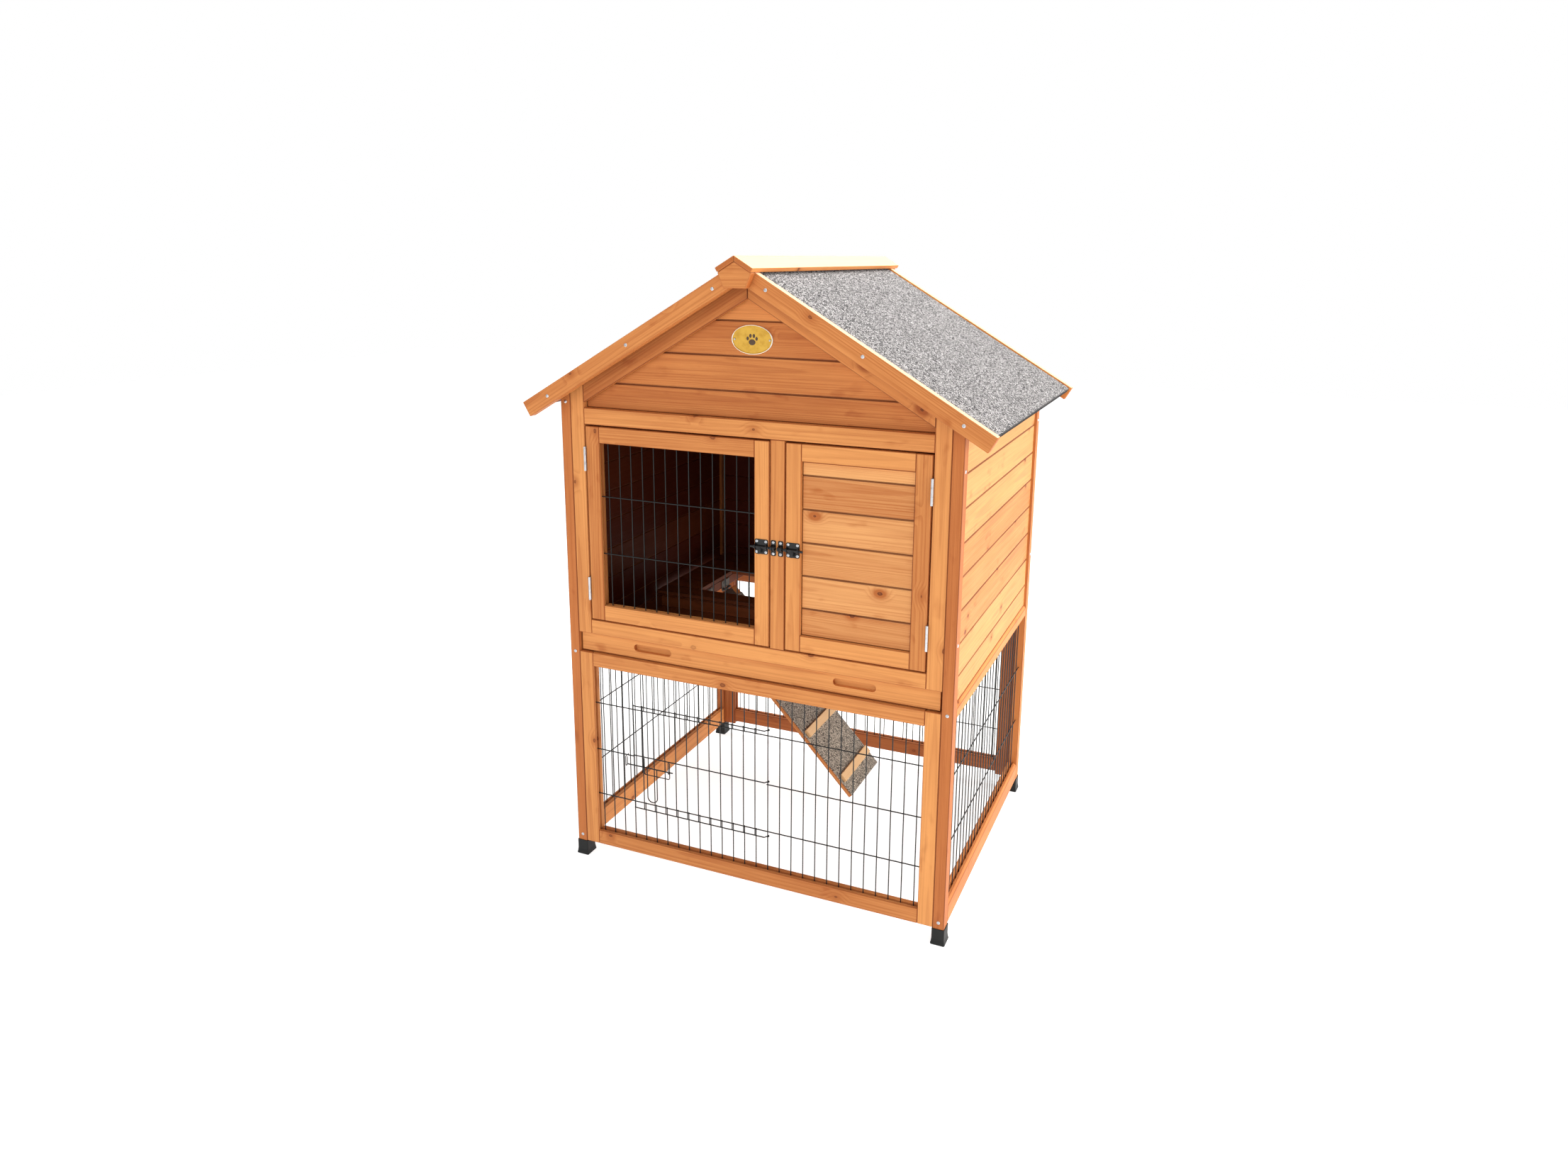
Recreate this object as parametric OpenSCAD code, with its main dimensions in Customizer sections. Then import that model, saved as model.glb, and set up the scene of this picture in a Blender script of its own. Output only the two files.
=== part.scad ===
// Two-storey rabbit hutch with a gable front: a closed upper floor with two doors and a
// pull-out tray, an open mesh run below, and a ramp between them.
// Origin: centre of the footprint on the ground. The front faces -Y, +Z is up.

/* [Body] */
// Width over the corner posts
body_w = 812; // [780:2:840]
// Depth over the corner posts
body_d = 672; // [640:2:700]
// Width of a corner post across the front
post_w = 22; // [20:1:24]
// Depth of a corner post
post_d = 26; // [24:1:28]
// Width of the frame stiles
stile_w = 30.5; // [28:0.5:33]
// Thickness of the frame timber
frame_t = 22; // [20:1:24]
// Thickness of the wall boards
board_t = 10; // [8:1:11]
// How far the wall boards lie behind the posts' outer faces
board_recess = 5; // [4:1:8]
// Height of the black foot caps
foot_h = 33; // [28:1:36]

/* [Heights] */
// Top of the run's bottom rail
run_sill_z = 65; // [55:1:75]
// Underside of the run's top rail
run_head_z = 437; // [430:1:440]
// Top of the run's top rail
run_top_z = 466.5; // [464:0.5:468]
// Underside of the upper front's bottom rail
sill_z = 508.5; // [508:0.5:510]
// Height of the front rails
rail_h = 30; // [28:1:32]
// Underside of the lintel over the doors
lintel_z = 940; // [930:1:950]
// Height of the lintel
lintel_h = 32; // [28:1:36]
// Lowest board line of the side walls
wall_line_z = 525.2; // [520:0.2:530]
// Height of one wall board
wall_pitch = 62.6; // [60:0.2:64]
// Lowest board line of the front gable
gable_line_z = 1022; // [1018:1:1026]
// Height of one gable board
gable_pitch = 64; // [60:1:66]

/* [Roof] */
// Pitch of the roof in degrees
roof_pitch = 30.4; // [29:0.1:31]
// Height of the bargeboards' top edges where they meet
apex_z = 1255; // [1245:1:1265]
// Half the width of the roof over the bargeboards
roof_half_w = 469; // [460:1:480]
// Width of a bargeboard
barge_w = 31; // [28:1:34]
// Thickness of a bargeboard
barge_t = 18; // [16:1:19]
// Length of the ridge cap, the longest piece from front to back
cap_len = 810; // [790:2:830]
// How far the ridge cap stands in front of the posts
cap_front = 55; // [50:1:60]
// Front overhang of the bargeboards
barge_front = 36; // [32:1:40]
// Rear overhang of the bargeboards
barge_rear = 53; // [48:1:56]

/* [Doors] */
// Left edge of the centre mullion
mullion_x = 45.6; // [40:0.2:50]
// Width of the centre mullion
mullion_w = 28.6; // [26:0.2:32]
// Running gap round the doors
door_gap = 2.5; // [2:0.5:3]
// Thickness of the doors
door_t = 18; // [16:1:20]
// Width of the door stiles
door_stile_w = 30; // [28:1:32]
// Height of the door hinges
hinge_h = 48; // [40:2:50]

/* [Mesh] */
// Distance from one upright wire to the next
wire_pitch = 25.4; // [25:0.2:26]
// Diameter of the upright wires
wire_d = 2.2; // [1.8:0.1:2.4]
// Diameter of the cross wires
cross_d = 2.4; // [2:0.1:2.6]

/* [Tray and ramp] */
// Depth of the pull-out tray, front board included
tray_d = 300; // [280:2:304]
// Length of a finger slot in the tray front
slot_len = 85; // [70:1:90]
// Height of a finger slot in the tray front
slot_h = 15; // [12:1:16]
// Depth of a finger slot in the tray front
slot_deep = 8; // [6:1:10]
// Length of the ramp
ramp_len = 557; // [540:1:560]
// Width of the ramp
ramp_w = 178; // [160:2:180]
// Slope of the ramp below level, in degrees
ramp_slope = 46.5; // [45:0.5:48]

/* [Hidden] */

stain = "peru";
stain_dark = "sienna";
pale_wood = "burlywood";
black = [0.12, 0.13, 0.13];
zinc = "silver";
grit = [0.6, 0.58, 0.6];

eps = 0.2;                        // hairline between pieces of one group
front_y = -cap_len/2 + cap_front; // outer face of the front posts
rear_y = front_y + body_d;        // outer face of the rear posts
mid_y = (front_y + rear_y)/2;
half_w = body_w/2;
post_x = half_w - post_w;         // inner face of a post
stile_x = post_x - stile_w;       // inner edge of a stile
wall_y0 = front_y + post_d + eps;
wall_y1 = rear_y - post_d - eps;
frame_bottom_z = foot_h + 1;
sill_top_z = sill_z + rail_h;
lintel_top_z = lintel_z + lintel_h;

// roof lines, as distances square to the slope below the bargeboards' top edges
felt_top_n = -3.45;
felt_t = 2;
deck_t = 10;
deck_top_n = felt_top_n - felt_t;
deck_n = deck_top_n - deck_t;
eave_u = (roof_half_w - 5)/cos(roof_pitch);
barge_y0 = front_y - barge_front;
barge_y1 = rear_y + barge_rear;
deck_y0 = barge_y0 + barge_t + eps;
deck_y1 = barge_y1 - barge_t - eps;
cap_n0 = 0.15;
cap_n1 = 8.65;
cap_half_u = 37.6;
block_t = 17;
block_half_w = 33;
block_base_w = 22;
block_base_z = apex_z - 46;
trim_t = 12;
trim_w = 40.6;

// mesh and grooves
groove_w = 3.4;
stile_groove_w = 5;
groove_d = 6;
mesh_y = front_y + 9;
front_wires = 28;
front_cross_z = [355, 251, 149];
side_cross_z = [320.6, 185.9];
side_mesh_x = half_w - 11;
side_wires = 24;
back_mesh_y = rear_y - 11;
side_rail_z0 = 450.6;
side_rail_z1 = 475.5;
side_foot_rail_z = 75;
back_foot_rail_z0 = 42;
back_foot_rail_z1 = 74;

// wire door in the run's front mesh, from wire 3 to wire 15
door_wire0 = 3;
door_wire1 = 15;
wire_door_y = mesh_y - 5.4;
wire_door_z = [366, 256.5, 138];
clip_r = 2.6;
latch_z = 235;
latch_y = wire_door_y - 4.2;
latch_rod_r = 1.3;
latch_tab_x = [-238.5, -179];
keeper_tab_x = -279;

// doors
left_door_x0 = -stile_x + door_gap;
left_door_x1 = mullion_x - door_gap;
right_door_x0 = mullion_x + mullion_w + door_gap;
right_door_x1 = stile_x - door_gap;
door_z0 = sill_top_z + door_gap;
door_z1 = lintel_z - 3.5;
door_rail_h = 32;
door_board_z = 626;
door_board_pitch = 63.2;
left_mesh_wires = 13;
left_mesh_cross_z = [797, 680.5];
hinge_x = stile_x - door_gap/2;
hinge_y = front_y - 2.9;
hinge_zs = [872, 606];
knuckle_r = 2.6;
pin_r = 1.2;
leaf_t = 1;
leaf_d = 18;

// barrel bolts, mirrored about the mullion's centre
mullion_cx = mullion_x + mullion_w/2;
bolt_z = 737;
bolt_y = front_y - 4.4;
bolt_r = 2.4;
plate_t = 1.2;
bolt_plate_x0 = 14.5;
bolt_plate_x1 = 41.5;
bolt_plate_h = 28.5;
strap_w = 3;
keeper_x0 = 47.3;
keeper_w = 10.5;
bolt_tip_x = 46.6;

// floor and ramp hole
floor_z0 = 497;
floor_z1 = 507;
joist_z = side_rail_z1 + eps;
floor_y0 = front_y + 313;
floor_y1 = rear_y - 15.3;
hole_x0 = -295;
hole_x1 = -95;
hole_y0 = front_y + 356;
hole_y1 = front_y + 524;
joist_w = 22;
ramp_hinge_x = -291.5;
ramp_hinge_z = 472;
ramp_y0 = (hole_y0 + hole_y1)/2 - ramp_w/2;
ramp_board_t = 9;
cleat_pitch = 128;
cleat_first = 42;
cleat_w = 19;
cleat_h = 8;
ramp_hinge_ys = [hole_y0 + 40, hole_y1 - 40];
ramp_hinge_len = 40;

// tray
tray_y0 = front_y + 6;
tray_front_t = 12;
tray_front_z0 = 469.8;
tray_half_w = 380;
tray_front_h = 37.2;
slot_x = 215;
slot_z = 491;
tray_box_half_w = 374;
tray_wall_t = 10;
tray_floor_z = 472;

screw_head_r = 3.4;
screw_head_h = 1.4;

// a box from one corner to the other
module span(a, b) { translate(a) cube([b[0] - a[0], b[1] - a[1], b[2] - a[2]]); }

// the same piece on the left and the right
module both_sides() {
    children();
    mirror([1, 0, 0]) children();
}

// an outline in X and Z, drawn out along Y
module along_y(points, y0, y1) {
    translate([0, y1, 0]) rotate([90, 0, 0]) linear_extrude(y1 - y0) polygon(points);
}

// a point on the right-hand roof slope: u down the slope from the apex, n square to it
function slope_point(u, n) = [u*cos(roof_pitch) + n*sin(roof_pitch),
    apex_z - u*sin(roof_pitch) + n*cos(roof_pitch)];
// where the line at n meets the upright plane at x
function slope_at_x(x, n) = slope_point((x - n*sin(roof_pitch))/cos(roof_pitch), n);
// underside of the roof deck at x
function under_roof(x) = slope_at_x(x, deck_n)[1] - eps;

// a board on the right-hand slope, mitred at the ridge
module slope_board(n0, n1, u1, y0, y1) {
    along_y([slope_at_x(eps, n0), slope_point(u1, n0), slope_point(u1, n1),
        slope_at_x(eps, n1)], y0, y1);
}

// an upright timber whose top is cut to the roof
module roof_cut_timber(x0, x1, y0, y1, z0) {
    along_y([[x0, z0], [x1, z0], [x1, under_roof(x1)], [x0, under_roof(x0)]], y0, y1);
}

// everything below the roof deck, for trimming gable boards
module below_roof(y0, y1) {
    along_y([[-half_w, 400], [half_w, 400], [half_w, under_roof(half_w)], [0, under_roof(0)],
        [-half_w, under_roof(half_w)]], y0 - 1, y1 + 1);
}

// a wood screw with a domed head, its head at the origin and its point along +Z
module screw(head_r = screw_head_r, len = 16) {
    rotate_extrude($fn = 24)
        polygon([[0, -screw_head_h], [head_r*0.55, -screw_head_h], [head_r*0.9, -screw_head_h*0.5],
            [head_r, 0], [head_r*0.45, 0.4], [head_r*0.45, len - 3], [0, len]]);
}

module screw_into_front(x, y, z, head_r = screw_head_r, len = 16) {
    translate([x, y, z]) rotate([-90, 0, 0]) screw(head_r, len);
}

// a straight wire between two points, along X, Y or Z
module wire_x(x0, x1, y, z, d) {
    translate([x0, y, z]) rotate([0, 90, 0]) cylinder(h = x1 - x0, d = d, $fn = 8);
}
module wire_y(x, y0, y1, z, d) {
    translate([x, y0, z]) rotate([-90, 0, 0]) cylinder(h = y1 - y0, d = d, $fn = 8);
}
module wire_z(x, y, z0, z1, d) {
    translate([x, y, z0]) cylinder(h = z1 - z0, d = d, $fn = 8);
}
// how far a cross wire's centre lies in front of the uprights it is welded to
weld = (wire_d + cross_d)/2 - 0.7;

// ---- frame ----

module front_posts() {
    color(stain_dark) both_sides()
        roof_cut_timber(post_x, half_w, front_y, front_y + post_d, 6);
}

module rear_posts() {
    color(stain_dark) both_sides()
        roof_cut_timber(post_x, half_w, rear_y - post_d, rear_y, 6);
}

module foot_cap(y0) {
    wall = 1.5;
    flare = 3.2;
    fit = 0.1;
    difference() {
        union() {
            span([post_x - wall, y0 - wall, 0], [half_w + wall, y0 + post_d + wall, foot_h]);
            span([post_x - flare, y0 - flare, 0], [half_w + flare, y0 + post_d + flare, 3.5]);
        }
        span([post_x - fit, y0 - fit, 6], [half_w + fit, y0 + post_d + fit, foot_h + 1]);
    }
}

module foot_caps() {
    color(black) both_sides() {
        foot_cap(front_y);
        foot_cap(rear_y - post_d);
    }
}

module front_stiles() {
    color(stain) both_sides()
        roof_cut_timber(stile_x, post_x - eps, front_y, front_y + frame_t, sill_z);
}

module front_rails() {
    x = stile_x - eps;
    color(stain) {
        span([-x, front_y, sill_z], [x, front_y + frame_t, sill_top_z]);
        span([-x, front_y, lintel_z], [x, front_y + frame_t, lintel_top_z]);
    }
}

module front_mullion() {
    color(stain) span([mullion_x, front_y, sill_top_z + eps],
        [mullion_x + mullion_w, front_y + frame_t, lintel_z - eps]);
}

module gable_boards() {
    y0 = front_y + trim_t;
    x = stile_x - eps;
    lines = [lintel_top_z, for (k = [0:2]) gable_line_z + k*gable_pitch, apex_z];
    color(stain) for (k = [0:3]) intersection() {
        span([-x, y0, lines[k] + eps], [x, front_y + frame_t, lines[k + 1] - eps]);
        below_roof(y0, front_y + frame_t);
    }
}

module gable_trims() {
    n0 = deck_n - trim_w;
    x = stile_x - eps;
    color(stain_dark) both_sides()
        along_y([slope_at_x(eps, n0), slope_at_x(x, n0), [x, under_roof(x)], [eps, under_roof(eps)]],
            front_y, front_y + trim_t - eps);
}

// ---- side and back walls ----

module wall_boards() {
    x1 = half_w - board_recess;
    x0 = x1 - board_t;
    top = under_roof(x1);
    lines = [side_rail_z1, for (k = [0:7]) wall_line_z + k*wall_pitch, top];
    for (k = [0:8])
        span([x0, wall_y0, lines[k] + eps], [x1, wall_y1, lines[k + 1] - (k < 8 ? eps : 0)]);
}

module right_wall_boards() { color(pale_wood) wall_boards(); }
module left_wall_boards() { color(pale_wood) mirror([1, 0, 0]) wall_boards(); }

// outline of a side rail with its outer top edge bevelled and a groove for the mesh
module side_rail(z0, z1, groove_up) {
    bevel_x = 5;
    bevel_z = 6;
    difference() {
        along_y([[post_x, z0], [half_w, z0], [half_w, z1 - bevel_z], [half_w - bevel_x, z1],
            [post_x, z1]], wall_y0, wall_y1);
        translate([side_mesh_x - groove_w/2, wall_y0 - 1, groove_up ? z1 - groove_d : z0 - groove_d])
            cube([groove_w, wall_y1 - wall_y0 + 2, 2*groove_d]);
    }
}

module side_rails() {
    color(pale_wood) both_sides() {
        side_rail(side_rail_z0, side_rail_z1, false);
        side_rail(frame_bottom_z, side_foot_rail_z, true);
    }
}

module side_run_meshes() {
    in = groove_d - 1;
    color(black) both_sides() {
        for (i = [0:side_wires - 1])
            wire_z(side_mesh_x, mid_y + (i - (side_wires - 1)/2)*wire_pitch,
                side_foot_rail_z - in, side_rail_z0 + in, wire_d);
        for (z = side_cross_z) wire_y(side_mesh_x + weld, wall_y0, wall_y1, z, cross_d);
    }
}

module back_wall_boards() {
    y1 = rear_y - board_recess;
    y0 = y1 - board_t;
    x = post_x - eps;
    lines = [run_top_z, for (k = [0:11]) wall_line_z + k*wall_pitch];
    color(stain_dark) for (k = [0:11]) intersection() {
        span([-x, y0, lines[k] + eps], [x, y1, (k < 11 ? lines[k + 1] : apex_z) - eps]);
        below_roof(y0, y1);
    }
}

// a rail with a groove along its inner edge for the mesh
module grooved_rail(x0, x1, y0, y1, z0, z1, groove_y, groove_up) {
    difference() {
        span([x0, y0, z0], [x1, y1, z1]);
        translate([x0 - 1, groove_y - groove_w/2, groove_up ? z1 - groove_d : z0 - groove_d])
            cube([x1 - x0 + 2, groove_w, 2*groove_d]);
    }
}

// a stile with a wider groove along its inner edge, which also takes the cross wires' ends
module grooved_stile(x0, x1, y0, y1, z0, z1, groove_y, inner_x) {
    difference() {
        span([x0, y0, z0], [x1, y1, z1]);
        translate([inner_x - groove_d, groove_y - weld/2 - stile_groove_w/2, z0 - 1])
            cube([2*groove_d, stile_groove_w, z1 - z0 + 2]);
    }
}

module back_frame() {
    y0 = rear_y - frame_t;
    x = stile_x - eps;
    color(stain_dark) {
        both_sides() grooved_stile(stile_x, post_x - eps, y0, rear_y, frame_bottom_z, run_top_z,
            back_mesh_y, stile_x);
        grooved_rail(-x, x, y0, rear_y, back_foot_rail_z0, back_foot_rail_z1, back_mesh_y, true);
        grooved_rail(-x, x, y0, rear_y, run_head_z, run_top_z, back_mesh_y, false);
    }
}

module back_run_mesh() {
    in = groove_d - 1;
    color(black) {
        for (i = [0:front_wires - 1])
            wire_z((i - (front_wires - 1)/2)*wire_pitch, back_mesh_y, back_foot_rail_z1 - in,
                run_head_z + in, wire_d);
        for (z = front_cross_z)
            wire_x(-stile_x - in, stile_x + in, back_mesh_y - weld, z, cross_d);
    }
}

// ---- run front ----

module run_front_frame() {
    y1 = front_y + frame_t;
    x = stile_x - eps;
    color(stain) {
        both_sides() grooved_stile(stile_x, post_x - eps, front_y, y1, frame_bottom_z, run_top_z,
            mesh_y, stile_x);
        grooved_rail(-x, x, front_y, y1, frame_bottom_z, run_sill_z, mesh_y, true);
        grooved_rail(-x, x, front_y, y1, run_head_z, run_top_z, mesh_y, false);
    }
}

function front_wire_x(i) = (i - (front_wires - 1)/2)*wire_pitch;

// part of the front mesh: uprights i0 to i1 between two heights, and their cross wires
module front_grid(i0, i1, z0, z1, cross_zs, x0, x1) {
    for (i = [i0:i1]) wire_z(front_wire_x(i), mesh_y, z0, z1, wire_d);
    for (z = cross_zs) wire_x(x0, x1, mesh_y - weld, z, cross_d);
}

module run_front_mesh() {
    in = groove_d - 1;
    z0 = run_sill_z - in;
    z1 = run_head_z + in;
    gap = wire_d/2 + 0.3;
    xa = front_wire_x(door_wire0);
    xb = front_wire_x(door_wire1);
    color(black) {
        front_grid(0, door_wire0, z0, z1, front_cross_z, -stile_x - in, xa + 0.6);
        front_grid(door_wire1, front_wires - 1, z0, z1, front_cross_z, xb - 0.6, stile_x + in);
        front_grid(door_wire0 + 1, door_wire1 - 1, front_cross_z[0] - 1, z1, [front_cross_z[0]],
            xa + gap, xb - gap);
        front_grid(door_wire0 + 1, door_wire1 - 1, z0, front_cross_z[2] + 1, [front_cross_z[2]],
            xa + gap, xb - gap);
        // catch for the wire door's slide
        difference() {
            span([keeper_tab_x - 1.5, latch_y - 3, latch_z - 4],
                [keeper_tab_x + 1.5, mesh_y - weld - cross_d/2 - 0.1, latch_z + 19]);
            wire_hole(keeper_tab_x, 2);
        }
    }
}

module wire_hole(x, r) {
    translate([x - 5, latch_y, latch_z]) rotate([0, 90, 0]) cylinder(h = 10, r = r, $fn = 24);
}

module wire_door() {
    xa = front_wire_x(door_wire0) + 3.7;
    xb = front_wire_x(door_wire1);
    tab_t = 2.4;
    color(black) difference() {
        union() {
            wire_z(xa, wire_door_y, wire_door_z[2] - 0.6, wire_door_z[0] + 0.6, wire_d + 0.6);
            for (i = [door_wire0 + 1:door_wire1 - 1])
                wire_z(front_wire_x(i), wire_door_y, wire_door_z[2] - 0.6, wire_door_z[0] + 0.6,
                    wire_d);
            for (z = wire_door_z) {
                wire_x(xa - 0.6, xb - 6, wire_door_y - weld, z, cross_d);
                // clip that wraps round the upright wire
                span([xb - 20, wire_door_y - weld - 1, z - 1.6], [xb - 1, wire_door_y + 1.6, z + 1.6]);
                span([xb - 2.2, wire_door_y - weld - 1, z - 1.6], [xb + 2.2, mesh_y - 1.9, z + 1.6]);
                translate([xb, mesh_y, z - 2]) cylinder(h = 4, r = clip_r, $fn = 24);
            }
            // guides for the slide
            for (x = latch_tab_x)
                span([x - tab_t/2, latch_y - 3, latch_z - 18],
                    [x + tab_t/2, wire_door_y - weld, wire_door_z[1] + 0.6]);
            wire_x(latch_tab_x[0], latch_tab_x[1], latch_y + 1.6, latch_z - 16.8, wire_d);
        }
        translate([xb, mesh_y, 0]) cylinder(h = 400, r = wire_d/2 + 0.3, $fn = 24);
        for (x = latch_tab_x) wire_hole(x, latch_rod_r + 0.1);
    }
}

module wire_door_latch() {
    x0 = keeper_tab_x + 2.2;
    legs = [-229.5, -207];
    drop = 64;
    bend_r = (legs[1] - legs[0])/2;
    color(black) {
        translate([x0, latch_y, latch_z]) rotate([0, 90, 0])
            cylinder(h = -170 - x0, r = latch_rod_r, $fn = 24);
        for (x = legs) wire_z(x, latch_y - 0.9, latch_z - drop, latch_z, wire_d);
        translate([(legs[0] + legs[1])/2, latch_y - 0.9, latch_z - drop]) rotate([90, 180, 0])
            rotate_extrude(angle = 180, $fn = 48) translate([bend_r, 0]) circle(d = wire_d, $fn = 16);
    }
}

// ---- floor, tray and ramp ----

module floor_boards() {
    x = post_x - 0.3;
    rows = [floor_y0, hole_y0, hole_y0 + 56, hole_y0 + 112, hole_y1, hole_y1 + 66, floor_y1];
    color(stain_dark) for (k = [0:5]) {
        y0 = rows[k] + (k > 0 ? eps : 0);
        y1 = rows[k + 1] - (k < 5 ? eps : 0);
        if (k == 0 || k > 3) span([-x, y0, floor_z0], [x, y1, floor_z1]);
        else {
            span([-x, y0, floor_z0], [hole_x0, y1, floor_z1]);
            span([hole_x1, y0, floor_z0], [x, y1, floor_z1]);
        }
    }
}

module floor_joists() {
    x = half_w - board_recess - board_t - eps;
    top = floor_z0 - 0.1;
    y0 = floor_y0 + joist_w + eps;
    y1 = rear_y - post_d - joist_w - 2*eps;
    color(stain_dark) {
        span([-x, floor_y0, joist_z], [x, floor_y0 + joist_w, top]);
        span([-x, y1 + eps, joist_z], [x, y1 + eps + joist_w, top]);
        for (xj = [hole_x0 - joist_w, hole_x1, 150])
            span([xj, y0, joist_z], [xj + joist_w - eps, y1, top]);
    }
}

module tray_runners() {
    color(stain_dark) both_sides()
        span([post_x - 22, front_y + post_d + 2, 452], [post_x - eps, floor_y0 - eps, 471.7]);
}

module finger_slot(x) {
    r = slot_h/2;
    for (dx = [-slot_len/2 + r, slot_len/2 - r]) translate([x + dx, tray_y0 - 1, slot_z])
        rotate([-90, 0, 0]) cylinder(h = slot_deep + 1, r = r, $fn = 32);
    translate([x - slot_len/2 + r, tray_y0 - 1, slot_z - r])
        cube([slot_len - 2*r, slot_deep + 1, 2*r]);
}

module tray_front() {
    color(stain) difference() {
        span([-tray_half_w, tray_y0, tray_front_z0],
            [tray_half_w, tray_y0 + tray_front_t, tray_front_z0 + tray_front_h]);
        for (x = [-slot_x, slot_x]) finger_slot(x);
    }
}

module tray_floor() {
    color(stain_dark) span([-tray_box_half_w, tray_y0 + tray_front_t + eps, tray_floor_z],
        [tray_box_half_w, tray_y0 + tray_d, tray_floor_z + 3]);
}

module tray_walls() {
    y0 = tray_y0 + tray_front_t + eps;
    y1 = tray_y0 + tray_d;
    z0 = tray_floor_z + 3 + eps;
    z1 = tray_front_z0 + tray_front_h - 7;
    color(stain_dark) {
        both_sides() span([tray_box_half_w - tray_wall_t, y0, z0], [tray_box_half_w, y1, z1]);
        x = tray_box_half_w - tray_wall_t - eps;
        span([-x, y1 - tray_wall_t, z0], [x, y1, z1]);
    }
}

// places a child drawn flat, with its hinge line at the origin, on the hanging ramp
module on_ramp() {
    translate([ramp_hinge_x, 0, ramp_hinge_z]) rotate([0, ramp_slope, 0]) children();
}

module ramp_board() {
    color(stain) on_ramp()
        span([4, ramp_y0, -0.8 - ramp_board_t], [ramp_len, ramp_y0 + ramp_w, -0.8]);
}

module ramp_felt() {
    color(grit) on_ramp() span([27, ramp_y0 + 1, -0.8 + 0.05], [ramp_len - 0.5, ramp_y0 + ramp_w - 1, 1.2]);
}

module ramp_cleats() {
    color(pale_wood) on_ramp() for (k = [0:3]) {
        u = ramp_len - cleat_first - k*cleat_pitch;
        span([u - cleat_w/2, ramp_y0 + 7, 1.25], [u + cleat_w/2, ramp_y0 + ramp_w - 7, 1.25 + cleat_h]);
    }
}

// one knuckle of a hinge, upright, with a bore for the pin
module knuckle(h, bore_r) {
    difference() {
        cylinder(h = h, r = knuckle_r, $fn = 32);
        translate([0, 0, -1]) cylinder(h = h + 2, r = bore_r, $fn = 32);
    }
}

// a ramp hinge's knuckles lie along Y: part 0 has the outer two and the pin, part 1 the middle one
module ramp_hinge_knuckles(yc, part) {
    third = ramp_hinge_len/3;
    starts = part == 0 ? [0, 2] : [1];
    translate([ramp_hinge_x, yc - ramp_hinge_len/2, ramp_hinge_z]) rotate([-90, 0, 0]) {
        for (k = starts) translate([0, 0, k*third + 0.2])
            knuckle(third - 0.4, part == 0 ? pin_r - 0.1 : pin_r + 0.05);
        if (part == 0) cylinder(h = ramp_hinge_len, r = pin_r, $fn = 32);
    }
}

module ramp_hinge_fixed() {
    color(zinc) for (yc = ramp_hinge_ys) {
        third = ramp_hinge_len/3;
        y0 = yc - ramp_hinge_len/2;
        ramp_hinge_knuckles(yc, 0);
        for (k = [0, 2]) span([hole_x0 + 0.1, y0 + k*third + 0.2, ramp_hinge_z],
            [hole_x0 + 0.1 + 1.3, y0 + (k + 1)*third - 0.2, ramp_hinge_z + 22]);
        span([hole_x0 + 0.1, y0 + 0.2, ramp_hinge_z + 4],
            [hole_x0 + 0.1 + 1.3, y0 + ramp_hinge_len - 0.2, ramp_hinge_z + 22]);
    }
}

module ramp_hinge_moving() {
    color(zinc) for (yc = ramp_hinge_ys) {
        third = ramp_hinge_len/3;
        ramp_hinge_knuckles(yc, 1);
        on_ramp() {
            span([1.8, yc - third/2 + 1, -0.7], [6, yc + third/2 - 1, 0.45]);
            span([4.5, yc - ramp_hinge_len/2, -0.75], [26, yc + ramp_hinge_len/2, 0.5]);
        }
    }
}

// ---- roof ----

module roof_panel() { slope_board(deck_n, deck_top_n - 0.02, eave_u, deck_y0, deck_y1); }
module right_roof_panel() { color(stain_dark) roof_panel(); }
module left_roof_panel() { color(stain_dark) mirror([1, 0, 0]) roof_panel(); }

// felt over the deck, turned down over the eave
module roof_felt() {
    along_y([slope_at_x(eps, deck_top_n), slope_point(eave_u + 0.05, deck_top_n),
        slope_point(eave_u + 0.05, deck_n - 0.5), slope_point(eave_u + 2, deck_n - 0.5),
        slope_point(eave_u + 2, felt_top_n), slope_at_x(eps, felt_top_n)], deck_y0, deck_y1);
}
module right_roof_felt() { color(grit) roof_felt(); }
module left_roof_felt() { color(grit) mirror([1, 0, 0]) roof_felt(); }

module bargeboard_pair(y0, y1) {
    color(stain) both_sides()
        slope_board(-barge_w, 0, roof_half_w/cos(roof_pitch), y0, y1);
}
module front_bargeboards() { bargeboard_pair(barge_y0, barge_y0 + barge_t); }
module rear_bargeboards() { bargeboard_pair(barge_y1 - barge_t, barge_y1); }

module ridge_block(y0) {
    shoulder_z = slope_at_x(block_half_w, 0)[1];
    along_y([[-block_base_w, block_base_z], [block_base_w, block_base_z],
        [block_half_w, shoulder_z], [0, apex_z], [-block_half_w, shoulder_z]], y0, y0 + block_t);
}

module ridge_blocks() {
    color(stain_dark) {
        ridge_block(barge_y0 - eps - block_t);
        ridge_block(barge_y1 + eps);
    }
}

module ridge_cap_boards() {
    color(stain) both_sides() slope_board(cap_n0, cap_n1, cap_half_u, -cap_len/2, cap_len/2);
}

module roof_bearers() {
    y0 = front_y + frame_t + eps;
    y1 = rear_y - board_recess - board_t - eps;
    ridge_half = 15;
    x1 = half_w - board_recess - board_t - eps;
    x0 = x1 - 20;
    color(stain_dark) {
        span([-ridge_half, y0, under_roof(ridge_half) - 40], [ridge_half, y1, under_roof(ridge_half)]);
        both_sides() along_y([[x0, 975], [x1, 975], [x1, under_roof(x1)], [x0, under_roof(x0)]],
            wall_y0, wall_y1);
    }
}

// ---- plaque and fixings ----

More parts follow.
